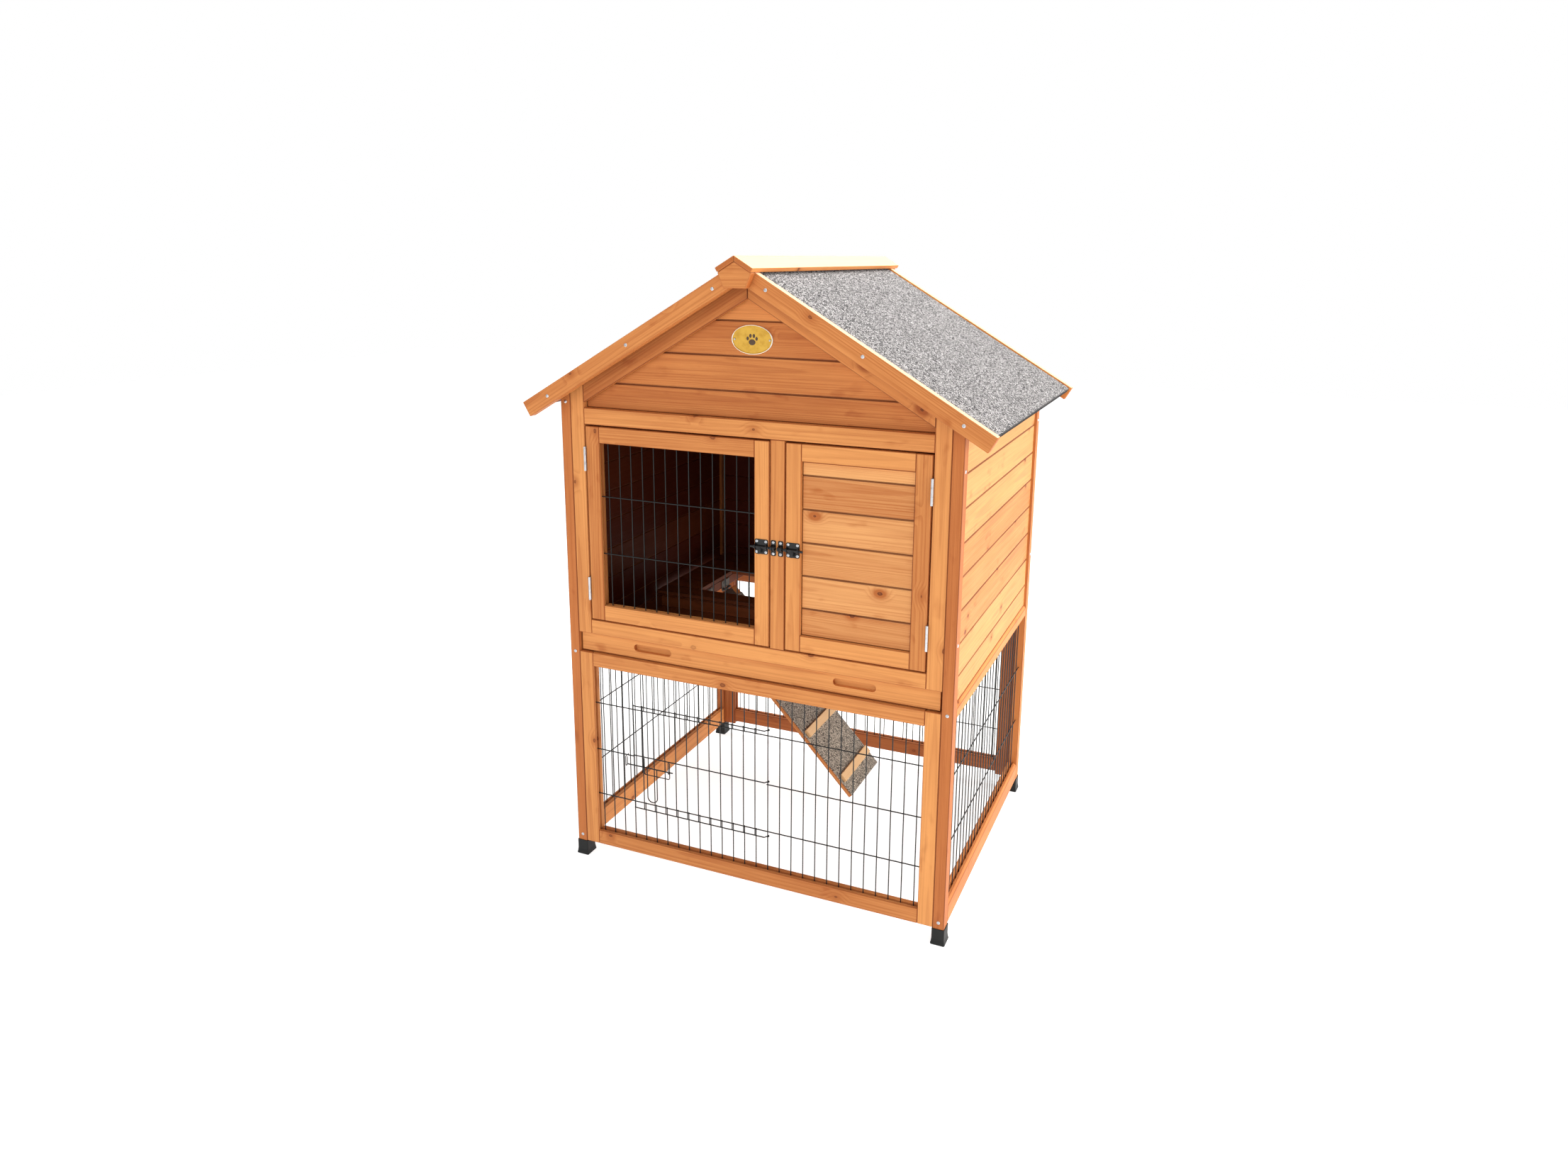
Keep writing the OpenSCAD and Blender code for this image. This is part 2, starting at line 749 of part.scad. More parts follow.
plaque_x = 4;
plaque_z = 1117;
plaque_r = [41, 26.5];
function oval(rx, rz, n = 56) = [for (i = [0:n - 1]) [rx*cos(i*360/n), rz*sin(i*360/n)]];

module plaque() {
    y = front_y + trim_t;
    rim = 2.4;
    color("gold") translate([plaque_x, y, plaque_z]) rotate([90, 0, 0]) difference() {
        linear_extrude(2) polygon(oval(plaque_r[0], plaque_r[1]));
        translate([0, 0, 1.3]) linear_extrude(2)
            polygon(oval(plaque_r[0] - rim, plaque_r[1] - rim));
    }
}

module plaque_screws() {
    color(zinc) for (s = [-1, 1])
        screw_into_front(plaque_x + s*(plaque_r[0] - 6), front_y + trim_t - 1.3, plaque_z, 1.9, 9);
}

module bargeboard_screws() {
    color(zinc) both_sides() for (x = [51.5, 232, 411]) {
        c = slope_at_x(x, -barge_w/2);
        screw_into_front(x, barge_y0, c[1], screw_head_r, barge_t + 12);
        translate([x, barge_y1, c[1]]) rotate([90, 0, 0]) screw(screw_head_r, barge_t + 12);
    }
}

module post_screws() {
    color(zinc) both_sides() {
        for (z = [982, 464.5, 46]) {
            screw_into_front(half_w - post_w/2, front_y, z);
            translate([half_w - post_w/2, rear_y, z]) rotate([90, 0, 0]) screw();
        }
        for (z = [910, 596]) for (y = [front_y + 11, rear_y - 11])
            translate([half_w, y, z]) rotate([0, -90, 0]) screw();
    }
}

// ---- door hinges ----

// hinge knuckles on one side of the body: the frame has the outer two, the door the middle one
module frame_hinge_half(zc) {
    third = hinge_h/3;
    translate([hinge_x, hinge_y, zc - hinge_h/2]) for (k = [0, 2]) translate([0, 0, k*third + 0.15])
        knuckle(third - 0.3, pin_r + 0.05);
    for (k = [0, 2]) span([stile_x - 0.1 - leaf_t, hinge_y + pin_r + 0.5, zc - hinge_h/2 + k*third + 0.15],
        [stile_x - 0.1, front_y + leaf_d, zc - hinge_h/2 + (k + 1)*third - 0.15]);
    span([stile_x - 0.1 - leaf_t, front_y + 1.5, zc - hinge_h/2 + 0.15],
        [stile_x - 0.1, front_y + leaf_d, zc + hinge_h/2 - 0.15]);
}

module door_hinge_half(zc) {
    third = hinge_h/3;
    x0 = stile_x - door_gap + 0.1;
    translate([hinge_x, hinge_y, zc - third/2 + 0.15]) knuckle(third - 0.3, pin_r + 0.05);
    span([x0, hinge_y + pin_r + 0.5, zc - third/2 + 0.15],
        [x0 + leaf_t, front_y + door_t, zc + third/2 - 0.15]);
    span([x0, front_y + 1.5, zc - hinge_h/2 + 0.15],
        [x0 + leaf_t, front_y + door_t, zc + hinge_h/2 - 0.15]);
}

module frame_hinge_halves() {
    color(zinc) both_sides() for (z = hinge_zs) frame_hinge_half(z);
}
module right_door_hinge_halves() { color(zinc) for (z = hinge_zs) door_hinge_half(z); }
module left_door_hinge_halves() {
    color(zinc) mirror([1, 0, 0]) for (z = hinge_zs) door_hinge_half(z);
}

module hinge_pins() {
    color(zinc) both_sides() for (z = hinge_zs) translate([hinge_x, hinge_y, z - hinge_h/2])
        cylinder(h = hinge_h, r = pin_r, $fn = 32);
}

// ---- doors ----

// stiles and rails of a door, grooved for what fills it
module door_frame(x0, x1, groove_y) {
    y1 = front_y + door_t;
    xa = x0 + door_stile_w;
    xb = x1 - door_stile_w;
    grooved_stile(x0, xa, front_y, y1, door_z0, door_z1, groove_y, xa);
    grooved_stile(xb, x1, front_y, y1, door_z0, door_z1, groove_y, xb);
    grooved_rail(xa + eps, xb - eps, front_y, y1, door_z0, door_z0 + door_rail_h, groove_y, true);
    grooved_rail(xa + eps, xb - eps, front_y, y1, door_z1 - door_rail_h, door_z1, groove_y, false);
}

module left_door_frame() { color(stain) door_frame(left_door_x0, left_door_x1, mesh_y); }

module left_door_mesh() {
    in = groove_d - 1;
    xa = left_door_x0 + door_stile_w;
    xb = left_door_x1 - door_stile_w;
    color(black) {
        for (i = [0:left_mesh_wires - 1])
            wire_z((xa + xb)/2 + (i - (left_mesh_wires - 1)/2)*wire_pitch, mesh_y,
                door_z0 + door_rail_h - in, door_z1 - door_rail_h + in, wire_d);
        for (z = left_mesh_cross_z) wire_x(xa - in, xb + in, mesh_y - weld, z, cross_d);
    }
}

module right_door_frame() {
    y1 = front_y + door_t;
    xa = right_door_x0 + door_stile_w;
    xb = right_door_x1 - door_stile_w;
    color(stain) {
        span([right_door_x0, front_y, door_z0], [xa, y1, door_z1]);
        span([xb, front_y, door_z0], [right_door_x1, y1, door_z1]);
        span([xa + eps, front_y, door_z0], [xb - eps, y1, door_z0 + door_rail_h]);
        span([xa + eps, front_y, door_z1 - door_rail_h], [xb - eps, y1, door_z1]);
    }
}

module right_door_boards() {
    xa = right_door_x0 + door_stile_w + eps;
    xb = right_door_x1 - door_stile_w - eps;
    lines = [door_z0 + door_rail_h, for (k = [0:4]) door_board_z + k*door_board_pitch,
        door_z1 - door_rail_h];
    color(stain) for (k = [0:5])
        span([xa, front_y + 6, lines[k] + eps], [xb, front_y + 6 + 9, lines[k + 1] - eps]);
}

// ---- barrel bolts ----

// mirrors a left-hand bolt part to the right-hand door
module to_right_bolt() { translate([2*mullion_cx, 0, 0]) mirror([1, 0, 0]) children(); }

module bolt_bore(x0, x1, r) {
    translate([x0, bolt_y, bolt_z]) rotate([0, 90, 0]) cylinder(h = x1 - x0, r = r, $fn = 32);
}

module bolt_housing() {
    y1 = front_y - 0.02;
    difference() {
        union() {
            span([bolt_plate_x0, front_y - plate_t, bolt_z - bolt_plate_h/2],
                [bolt_plate_x1, y1, bolt_z + bolt_plate_h/2]);
            for (x = [bolt_plate_x0 + 0.2, bolt_plate_x1 - strap_w - 0.2]) {
                span([x, bolt_y, bolt_z - 4], [x + strap_w, front_y - plate_t + 0.2, bolt_z + 4]);
                bolt_strap(x);
            }
        }
        bolt_bore(bolt_plate_x0 - 1, bolt_plate_x1 + 1, bolt_r + 0.06);
    }
}
module bolt_strap(x) {
    translate([x, bolt_y, bolt_z]) rotate([0, 90, 0]) cylinder(h = strap_w, r = 4, $fn = 32);
}

module left_bolt_housing() { color(black) bolt_housing(); }
module right_bolt_housing() { color(black) to_right_bolt() bolt_housing(); }

module bolt_screws() {
    for (x = [bolt_plate_x0 + 4.2, bolt_plate_x1 - 4.2]) for (s = [-1, 1])
        screw_into_front(x, front_y - plate_t, bolt_z + s*10, 3, 12);
}
module left_bolt_screws() { color(zinc) bolt_screws(); }
module right_bolt_screws() { color(zinc) to_right_bolt() bolt_screws(); }

// the rod and its turned-down lever
module bolt() {
    lever_x = 27;
    translate([bolt_tip_x - 40, bolt_y, bolt_z]) rotate([0, 90, 0])
        cylinder(h = 40, r = bolt_r, $fn = 32);
    span([lever_x - 1.3, bolt_y - 3.6, bolt_z - 13], [lever_x + 1.3, bolt_y - 1, bolt_z + 0.5]);
}
module left_bolt() { color(black) bolt(); }
module right_bolt() { color(black) to_right_bolt() bolt(); }

// a plate on the mullion with a strap that takes the bolt
module keeper() {
    hole = 6.4;
    x1 = keeper_x0 + keeper_w;
    difference() {
        union() {
            span([keeper_x0, front_y - plate_t, bolt_z - 15], [x1, front_y - 0.02, bolt_z + 15]);
            span([keeper_x0, bolt_y - hole/2 - 1.2, bolt_z - hole/2 - 1.2],
                [x1, front_y - plate_t + 0.2, bolt_z + hole/2 + 1.2]);
        }
        span([keeper_x0 - 1, bolt_y - hole/2, bolt_z - hole/2],
            [x1 + 1, front_y - plate_t, bolt_z + hole/2]);
    }
}

module bolt_keepers() {
    color(black) {
        keeper();
        to_right_bolt() keeper();
    }
}

module keeper_screw_pair() {
    for (s = [-1, 1])
        screw_into_front(keeper_x0 + keeper_w/2, front_y - plate_t, bolt_z + s*10.5, 3, 12);
}
module keeper_screws() {
    color(zinc) {
        keeper_screw_pair();
        to_right_bolt() keeper_screw_pair();
    }
}

front_posts();
rear_posts();
foot_caps();
front_stiles();
front_rails();
front_mullion();
gable_boards();
gable_trims();
left_wall_boards();
right_wall_boards();
side_rails();
side_run_meshes();
back_wall_boards();
back_frame();
back_run_mesh();
run_front_frame();
run_front_mesh();
floor_boards();
floor_joists();
tray_runners();
left_roof_panel();
right_roof_panel();
left_roof_felt();
right_roof_felt();
front_bargeboards();
rear_bargeboards();
ridge_blocks();
ridge_cap_boards();
roof_bearers();
plaque();
plaque_screws();
bargeboard_screws();
post_screws();
frame_hinge_halves();
hinge_pins();
bolt_keepers();
keeper_screws();
left_door_frame();
left_door_mesh();
left_door_hinge_halves();
left_bolt_housing();
left_bolt_screws();
left_bolt();
right_door_frame();
right_door_boards();
right_door_hinge_halves();
right_bolt_housing();
right_bolt_screws();
right_bolt();
tray_front();
tray_floor();
tray_walls();
ramp_board();
ramp_felt();
ramp_cleats();
ramp_hinge_fixed();
ramp_hinge_moving();
wire_door();
wire_door_latch();
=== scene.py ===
import math
import random

import bmesh
import bpy
from mathutils import Euler, Matrix, Vector


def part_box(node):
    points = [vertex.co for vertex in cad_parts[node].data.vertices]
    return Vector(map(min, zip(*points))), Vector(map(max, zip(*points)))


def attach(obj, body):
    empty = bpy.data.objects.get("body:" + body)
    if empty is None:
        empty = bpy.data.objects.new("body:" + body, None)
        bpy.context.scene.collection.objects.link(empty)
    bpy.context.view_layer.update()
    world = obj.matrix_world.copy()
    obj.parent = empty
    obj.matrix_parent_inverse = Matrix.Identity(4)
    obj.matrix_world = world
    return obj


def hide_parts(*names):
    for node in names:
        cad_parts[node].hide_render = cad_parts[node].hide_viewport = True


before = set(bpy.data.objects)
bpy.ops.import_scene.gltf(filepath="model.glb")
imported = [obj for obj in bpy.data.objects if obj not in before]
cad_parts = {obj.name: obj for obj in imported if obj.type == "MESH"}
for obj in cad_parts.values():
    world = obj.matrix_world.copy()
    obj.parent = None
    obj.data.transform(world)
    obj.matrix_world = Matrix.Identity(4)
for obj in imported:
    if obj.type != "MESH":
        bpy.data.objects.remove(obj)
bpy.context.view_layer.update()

# ---- Camera, floor and light ----
# A wide lens at about the height of the ridge, to the right of the hutch and looking down at it.
# The hutch stands on a plain pale floor under a broad soft sky panel, with a second panel on its right
# and a faint one in front, so that the right wall and the roof come out brighter than the front.
camera = bpy.data.objects.new("camera", bpy.data.cameras.new("camera"))
camera.data.sensor_width = 36
camera.data.lens = 24.5
camera.data.shift_x = -0.0167
camera.data.shift_y = -0.0562
camera_place = Vector((0.8383, -2.0868, 1.2706))
camera_turn = Euler((math.radians(76.96), 0, math.radians(22.33))).to_matrix().to_4x4()
camera.matrix_world = (
    Matrix.Translation(camera_place) @ camera_turn @ Matrix.Rotation(math.radians(0.664), 4, "Z")
)
scene = bpy.context.scene
scene.collection.objects.link(camera)
scene.camera = camera
scene.view_settings.view_transform = "Standard"

world = bpy.data.worlds.new("studio")
world.use_nodes = True
sky = world.node_tree.nodes
height = sky.new("ShaderNodeTexCoord").outputs["Generated"]
split = sky.new("ShaderNodeSeparateXYZ")
fade = sky.new("ShaderNodeMapRange")
world.node_tree.links.new(height, split.inputs[0])
world.node_tree.links.new(split.outputs["Z"], fade.inputs["Value"])
world.node_tree.links.new(fade.outputs[0], sky["Background"].inputs["Strength"])
for port, value in (("From Min", 0.25), ("From Max", 0.55), ("To Min", 1.0), ("To Max", 0.5)):
    fade.inputs[port].default_value = value
sky["Background"].inputs["Color"].default_value = (1, 1, 1, 1)
scene.world = world


def light_panel(name, place, target, size, watts, colour):
    data = bpy.data.lights.new(name, "AREA")
    data.shape = "RECTANGLE"
    data.size, data.size_y = size
    data.energy = watts
    data.color = colour
    panel = bpy.data.objects.new(name, data)
    panel.location = place
    panel.rotation_euler = (Vector(target) - Vector(place)).to_track_quat("-Z", "Y").to_euler()
    scene.collection.objects.link(panel)


middle = (0, 0, 0.6)
light_panel("sky_panel", (0.7, 0.5, 3.6), middle, (2.2, 2.2), 175, (1, 0.98, 0.95))
light_panel("right_panel", (3.7, 0.1, 1.7), middle, (2.2, 2.2), 100, (1, 0.96, 0.9))
light_panel("front_panel", (-0.6, -3.3, 2.9), middle, (2.6, 2.2), 27, (1, 0.97, 0.93))

floor_mesh = bpy.data.meshes.new("studio_floor")
floor_mesh.from_pydata([(-9, -9, 0), (9, -9, 0), (9, 9, 0), (-9, 9, 0)], [], [(0, 1, 2, 3)])
floor = bpy.data.objects.new("studio_floor", floor_mesh)
scene.collection.objects.link(floor)


# ---- Posts, and how all the stained fir is made ----
# The hutch is planed fir, dipped in an orange-brown stain and flat-packed. Every board and post is
# cut from its own stretch of log, so its rings, knots and tone are its own; its long edges are eased,
# and the stain gathers dark in the joints between boards, darkened further as painted shade for the
# shadow in the gaps. Faces that look into the hutch are painted dark as painted shade, and some
# upper parts are painted pale as a painted highlight.
class Flow:
    """A value flowing through a material's nodes. Ordinary operators on it add Math nodes."""

    def __init__(self, tree, socket=None):
        self.tree, self.socket = tree, socket

    def node(self, kind, settings=(), sockets=(), outlet=0):
        made = self.tree.nodes.new("ShaderNode" + kind)
        for name, value in dict(settings).items():
            if name == "stops":
                ramp = made.color_ramp.elements
                while len(ramp) < len(value):
                    ramp.new(0.5)
                for stop, (place, colour) in zip(ramp, value):
                    stop.position, stop.color = place, (*colour, 1)
            else:
                setattr(made, name, value)
        for name, value in dict(sockets).items():
            port = made.inputs[name]
            if isinstance(value, Flow):
                self.tree.links.new(value.socket, port)
            else:
                port.default_value = value
        return Flow(self.tree, made.outputs[outlet])

    def maths(self, operation, *values):
        return self.node("Math", {"operation": operation}, enumerate(values))

    def __add__(self, other):
        return self.maths("ADD", self, other)

    def __sub__(self, other):
        return self.maths("SUBTRACT", self, other)

    def __mul__(self, other):
        return self.maths("MULTIPLY", self, other)

    def __truediv__(self, other):
        return self.maths("DIVIDE", self, other)

    def __rsub__(self, other):
        return self.maths("SUBTRACT", other, self)

    __radd__ = __add__
    __rmul__ = __mul__

    def power(self, exponent):
        return self.maths("POWER", self, exponent)

    def between(self, low, high):
        """0 below low, 1 above high and smooth between them; falling if high is below low."""
        return self.node("MapRange", {"interpolation_type": "SMOOTHSTEP"},
                         {0: self, 1: low, 2: high, 3: 0.0, 4: 1.0})

    def stretch(self, x, y, z):
        return self.node("VectorMath", {"operation": "MULTIPLY"}, {0: self, 1: (x, y, z)})

    def noise(self, scale, detail=2.0, roughness=0.5):
        return self.node("TexNoise", {}, {"Vector": self, "Scale": scale, "Detail": detail,
                                          "Roughness": roughness})

    def part(self, axis):
        return self.node("SeparateXYZ", {}, {0: self}, "XYZ".index(axis))

    def tint(self, under, over):
        """One colour over another, with this value as the mask."""
        colours = {6: under, 7: over}
        for port, colour in colours.items():
            if not isinstance(colour, Flow):
                colours[port] = (*colour, 1)
        return self.node("Mix", {"data_type": "RGBA", "clamp_factor": True}, {0: self, **colours}, 2)


def new_material(name):
    """A material, its main shader node and a Flow that starts its other nodes."""
    material = bpy.data.materials.new(name)
    material.use_nodes = True
    return material, material.node_tree.nodes["Principled BSDF"], Flow(material.node_tree)


def feed(shader, **inputs):
    """Flows and values to the main shader's sockets; a name's underscores are spaces."""
    for name, value in inputs.items():
        port = shader.inputs[name.replace("_", " ")]
        if isinstance(value, Flow):
            value.tree.links.new(value.socket, port)
        else:
            port.default_value = value


def bump(height, strength, depth):
    return height.node("Bump", {}, {"Height": height, "Strength": strength, "Distance": depth})


def stained_fir(name, light, dark, joint_stain_and_shade, knots=1.0, contrast=1.0, painted_top_light=0.0):
    """Planed fir under a clear stain. Its rings come from where each board lay in the log."""
    material, shader, start = new_material(name)
    log = start.node("Attribute", {"attribute_name": "log"}, {}, 1)
    fibre = start.node("Attribute", {"attribute_name": "fibre"}, {}, 1)
    finish = start.node("Attribute", {"attribute_name": "finish"}, {}, 1)
    # tone is the board's random tone plus the painted shade on faces that look into the hutch
    tone, end_grain, eased = finish.part("X"), finish.part("Y"), finish.part("Z")
    # knots, six to twelve millimetres across, with the grain bending round them
    knot_space = fibre.stretch(8, 12, 12)
    wobble = knot_space.noise(30.0, 2.0)
    flat, scatter = {"voronoi_dimensions": "2D"}, {"Vector": knot_space, "Scale": 1.0}
    near_knot = knot_space.node("TexVoronoi", flat, scatter, 0)
    knot_pick = knot_space.node("TexVoronoi", flat, scatter, 1).part("X")
    has_knot = knot_pick.between(0.38, 0.35) * knots
    knot_reach = near_knot / (0.015 + knot_pick * 0.09) + (wobble - 0.5) * 0.7
    knot = knot_reach.between(1.3, 0.75) * has_knot
    rim = knot_reach.between(0.3, 0.85) * knot
    halo = near_knot.between(0.26, 0.02) * has_knot
    # growth rings, which run nearly parallel to the board
    drift = fibre.stretch(0.9, 7, 7).noise(1.0, 2.0) - 0.5
    waver = fibre.stretch(5, 45, 45).noise(1.0, 2.0) - 0.5
    across = log.node("VectorMath", {"operation": "LENGTH"}, {0: log.stretch(0, 1, 1)}, 1)
    ring = (across + log.part("X") * 0.003 + drift * 0.003 + waver * 0.0006 + halo * 0.0026) * 640
    late = ring.maths("FRACT", ring)
    late_wood = late.between(0.35, 0.92) * late.between(1.0, 0.95)
    # fibres along the board, pores, and stain taken up unevenly
    bands = fibre.stretch(2.2, 230, 230).noise(1.0, 4.0, 0.65)
    fibres = fibre.stretch(9, 620, 620).noise(1.0, 3.0, 0.7)
    pores = fibre.stretch(60, 1900, 1900).noise(1.0, 1.0)
    blotch = fibre.stretch(4, 28, 28).noise(1.0, 3.0, 0.6)
    smear = fibre.stretch(16, 34, 34).noise(1.0, 2.0, 0.5).between(0.62, 0.8)
    depth = late_wood * 0.2 + (bands - 0.5) * 0.7 + (fibres - 0.5) * 0.5 + (blotch - 0.5) * 0.6
    depth = (depth + smear * 0.35) * contrast + tone * 0.5 + 0.03
    colour = depth.between(-0.3, 1.15).tint(light, dark)
    colour = (fibres.between(0.6, 0.8) * 0.2).tint(colour, dark)
    colour = (halo.power(2.5) * 0.55).tint(colour, dark)
    colour = (knot * 0.8).tint(colour, (0.24, 0.064, 0.014))
    colour = (rim * 0.6).tint(colour, (0.10, 0.024, 0.007))
    colour = (end_grain * 0.75).tint(colour, dark)
    # eased edges take the joint colour: stain gathered in the joints, plus painted shade for the shadow in
    # the gaps
    colour = (eased * (0.4 + blotch * 0.5)).tint(colour, joint_stain_and_shade)
    # painted shade: faces that look into the hutch are painted nearly black-brown for the shade inside
    colour = (tone.between(1.1, 2.6) * 0.95).tint(colour, (0.10, 0.011, 0.003))
    # painted highlight: the upper part of each piece is painted pale, for the light falling on it from
    # above
    if painted_top_light:
        top_light_mask = start.node("TexCoord", {}, {}, 1).part("Z").between(0.5, 0.85)
        colour = (top_light_mask * painted_top_light).tint(colour, (0.90, 0.75, 0.54))
    relief = late_wood * 0.3 + bands * 0.3 + fibres * 0.6 + pores * 0.3 - knot * 0.4
    feed(shader, Base_Color=colour, Roughness=0.5 + fibres * 0.2 - late_wood * 0.06,
         Normal=bump(relief, 0.35, 0.0004), Specular_IOR_Level=0.22)
    return material


def boards_of(node):
    """Each board of a CAD node as a clean solid: whole flat faces, and no shared corners."""
    whole = bmesh.new()
    whole.from_mesh(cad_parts[node].data)
    bmesh.ops.remove_doubles(whole, verts=whole.verts, dist=2e-5)
    whole.verts.index_update()
    waiting = set(whole.verts)
    for first in list(whole.verts):
        if first not in waiting:
            continue
        waiting.discard(first)
        group, reached = set(), [first]
        while reached:
            vertex = reached.pop()
            group.add(vertex)
            for edge in vertex.link_edges:
                other = edge.other_vert(vertex)
                if other in waiting:
                    waiting.discard(other)
                    reached.append(other)
        board = bmesh.new()
        ordered = sorted(group, key=lambda v: v.index)
        copies = {v: board.verts.new(v.co) for v in ordered}
        for face in whole.faces:
            if face.verts[0] in group:
                board.faces.new([copies[v] for v in face.verts])
        bmesh.ops.dissolve_limit(board, angle_limit=math.radians(1.5), verts=board.verts,
                                 edges=board.edges)
        board.normal_update()
        yield board
    whole.free()


def lay_grain(board, ease, dice, inside_shade=0.0):
    """Eases a board's edges and lays its grain along its longest edge. A face that looks into the
    hutch gets that much painted shade added to its tone, a darker colour for the shade inside."""
    finish = board.faces.layers.float_vector.new("finish")
    log = board.verts.layers.float_vector.new("log")
    fibre = board.verts.layers.float_vector.new("fibre")
    sharp = math.radians(25)
    corners = [e for e in board.edges if e.is_manifold and e.calc_face_angle() > sharp]
    longest = max(corners, key=lambda e: e.calc_length())
    along = (longest.verts[1].co - longest.verts[0].co).normalized()
    largest = max(board.faces, key=lambda f: f.calc_area() * (abs(f.normal.dot(along)) < 0.5))
    thick = largest.normal.copy()
    wide = along.cross(thick)
    centre = sum((v.co for v in board.verts), Vector()) / len(board.verts)
    ends = [f for f in board.faces if abs(f.normal.dot(along)) > 0.6]
    tone = dice.random()
    for face in ends:
        face[finish] = (tone, 1, 0)
    rounded = bmesh.ops.bevel(board, geom=corners, offset=ease, segments=2, profile=0.5,
                              affect="EDGES", clamp_overlap=True)
    for face in rounded["faces"]:
        face[finish] = (tone, 0, 1)
    board.normal_update()
    for face in board.faces:
        # painted shade: a face that looks into the hutch has inside_shade added to its tone
        inward = Vector((-centre.x, -centre.y, 0)).normalized().dot(face.normal) > 0.4
        face[finish] = (tone + inside_shade * inward, face[finish].y, face[finish].z)
    pith = Vector((dice.uniform(-9, 9), dice.uniform(-0.02, 0.02), dice.uniform(0.03, 0.09)))
    shift = Vector((dice.uniform(0, 90), dice.uniform(0, 90), dice.uniform(0, 90)))
    for vertex in board.verts:
        away = vertex.co - centre
        place = Vector((away.dot(along), away.dot(wide), away.dot(thick)))
        vertex[log] = place + pith
        vertex[fibre] = place + shift
    return board


def make_piece(shape, name, material, body, nodes=(), smooth=50):
    """A bmesh becomes a named piece that rides on a body and stands for CAD nodes."""
    mesh = bpy.data.meshes.new(name)
    shape.to_mesh(mesh)
    shape.free()
    mesh.materials.append(material)
    mesh.shade_smooth()
    mesh.set_sharp_from_angle(angle=math.radians(smooth))
    piece = bpy.data.objects.new(name, mesh)
    scene.collection.objects.link(piece)
    normals = piece.modifiers.new("even_normals", "WEIGHTED_NORMAL")
    normals.weight = 100
    normals.keep_sharp = True
    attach(piece, body)
    if nodes:
        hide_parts(*nodes)
    return piece


def joined(shapes):
    """Several bmeshes as one, with their layers."""
    whole = bpy.data.meshes.new("joining")
    total = bmesh.new()
    for shape in shapes:
        shape.to_mesh(whole)
        shape.free()
        total.from_mesh(whole)
    bpy.data.meshes.remove(whole)
    return total


def timber(node, material, body="frame", ease=0.0012, inside_shade=0.0, tongue=0.0):
    """Turns a CAD node's plain boards into eased, grained timber. Level boards with a tongue run on
    that far into each other, so that no light shows between them."""
    dice = random.Random(node)
    boards = []
    for board in boards_of(node):
        middle_z = sum(v.co.z for v in board.verts) / len(board.verts)
        for vertex in board.verts:
            vertex.co.z += math.copysign(tongue, vertex.co.z - middle_z)
        boards.append(lay_grain(board, ease, dice, inside_shade))
    return make_piece(joined(boards), node + "_timber", material, body, [node])


# The posts' joint colour is very dark: painted shade for the shadowed gaps round the posts, over the stain
# gathered there.
post_fir = stained_fir("post_fir", (0.62, 0.215, 0.057), (0.33, 0.08, 0.017), (0.14, 0.03, 0.008))
for node in ("front_posts", "rear_posts"):
    timber(node, post_fir, ease=0.0014)


# ---- Foot caps ----
# Moulded black plastic caps pushed onto the posts' ends. Each is a thin sleeve over a wider, bevelled
# foot, with the slightly grained skin of a cheap moulding.
def moulded(name, colour, grain, roughness):
    material, shader, start = new_material(name)
    place = start.node("TexCoord", {}, {}, 3)
    skin = place.noise(grain, 3.0, 0.6)
    scuff = place.noise(60.0, 4.0, 0.7).between(0.5, 0.8)
    tinted = (scuff * 0.35).tint(colour, tuple(c * 2.2 + 0.004 for c in colour))
    feed(shader, Base_Color=tinted, Roughness=roughness + scuff * 0.2, Normal=bump(skin, 0.25, 0.0003),
         Specular_IOR_Level=0.3)
    return material


def loft(rings):
    """A solid through closed rings of corners, capped at both ends."""
    shape = bmesh.new()
    rows = [[shape.verts.new(corner) for corner in ring] for ring in rings]
    for low, high in zip(rows, rows[1:]):
        for k in range(len(low)):
            n = (k + 1) % len(low)
            shape.faces.new((low[k], low[n], high[n], high[k]))
    shape.faces.new(rows[0][::-1])
    shape.faces.new(rows[-1])
    return shape


def rounded_rectangle(low, high, radius, z, steps=4):
    """Corners of a level rectangle with round corners, anticlockwise."""
    ring = []
    for right, up, start in ((1, 1, 0), (0, 1, 90), (0, 0, 180), (1, 0, 270)):
        cx = high[0] - radius if right else low[0] + radius
        cy = high[1] - radius if up else low[1] + radius
        for k in range(steps + 1):
            turn = math.radians(start + 90 * k / steps)
            ring.append(Vector((cx + radius * math.cos(turn), cy + radius * math.sin(turn), z)))
    return ring


cap_plastic = moulded("cap_plastic", (0.003, 0.004, 0.004), 900.0, 0.5)
cap_flare = 0.0032
cap_wall = 0.0015
cap_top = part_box("foot_caps")[1].z
post_low, post_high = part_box("front_posts")
post_size = (0.022, post_high.y - post_low.y)
sleeves = []
for side in (-1, 1):
    for y in (post_low.y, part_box("rear_posts")[0].y):
        x = post_high.x - post_size[0] if side > 0 else -post_high.x
        rings = []
        for z, out in ((0, cap_flare - 0.0006), (0.0008, cap_flare), (0.0030, cap_flare),
                       (0.0042, cap_flare - 0.0006), (0.0105, cap_wall + 0.0003), (0.012, cap_wall),
                       (cap_top - 0.0006, cap_wall), (cap_top, cap_wall - 0.0005)):
            low = (x - out, y - out)
            high = (x + post_size[0] + out, y + post_size[1] + out)
            rings.append(rounded_rectangle(low, high, 0.0012 + out * 0.4, z))
        sleeves.append(loft(rings))
make_piece(joined(sleeves), "moulded_foot_caps", cap_plastic, "frame",
           ["foot_caps"], 30)

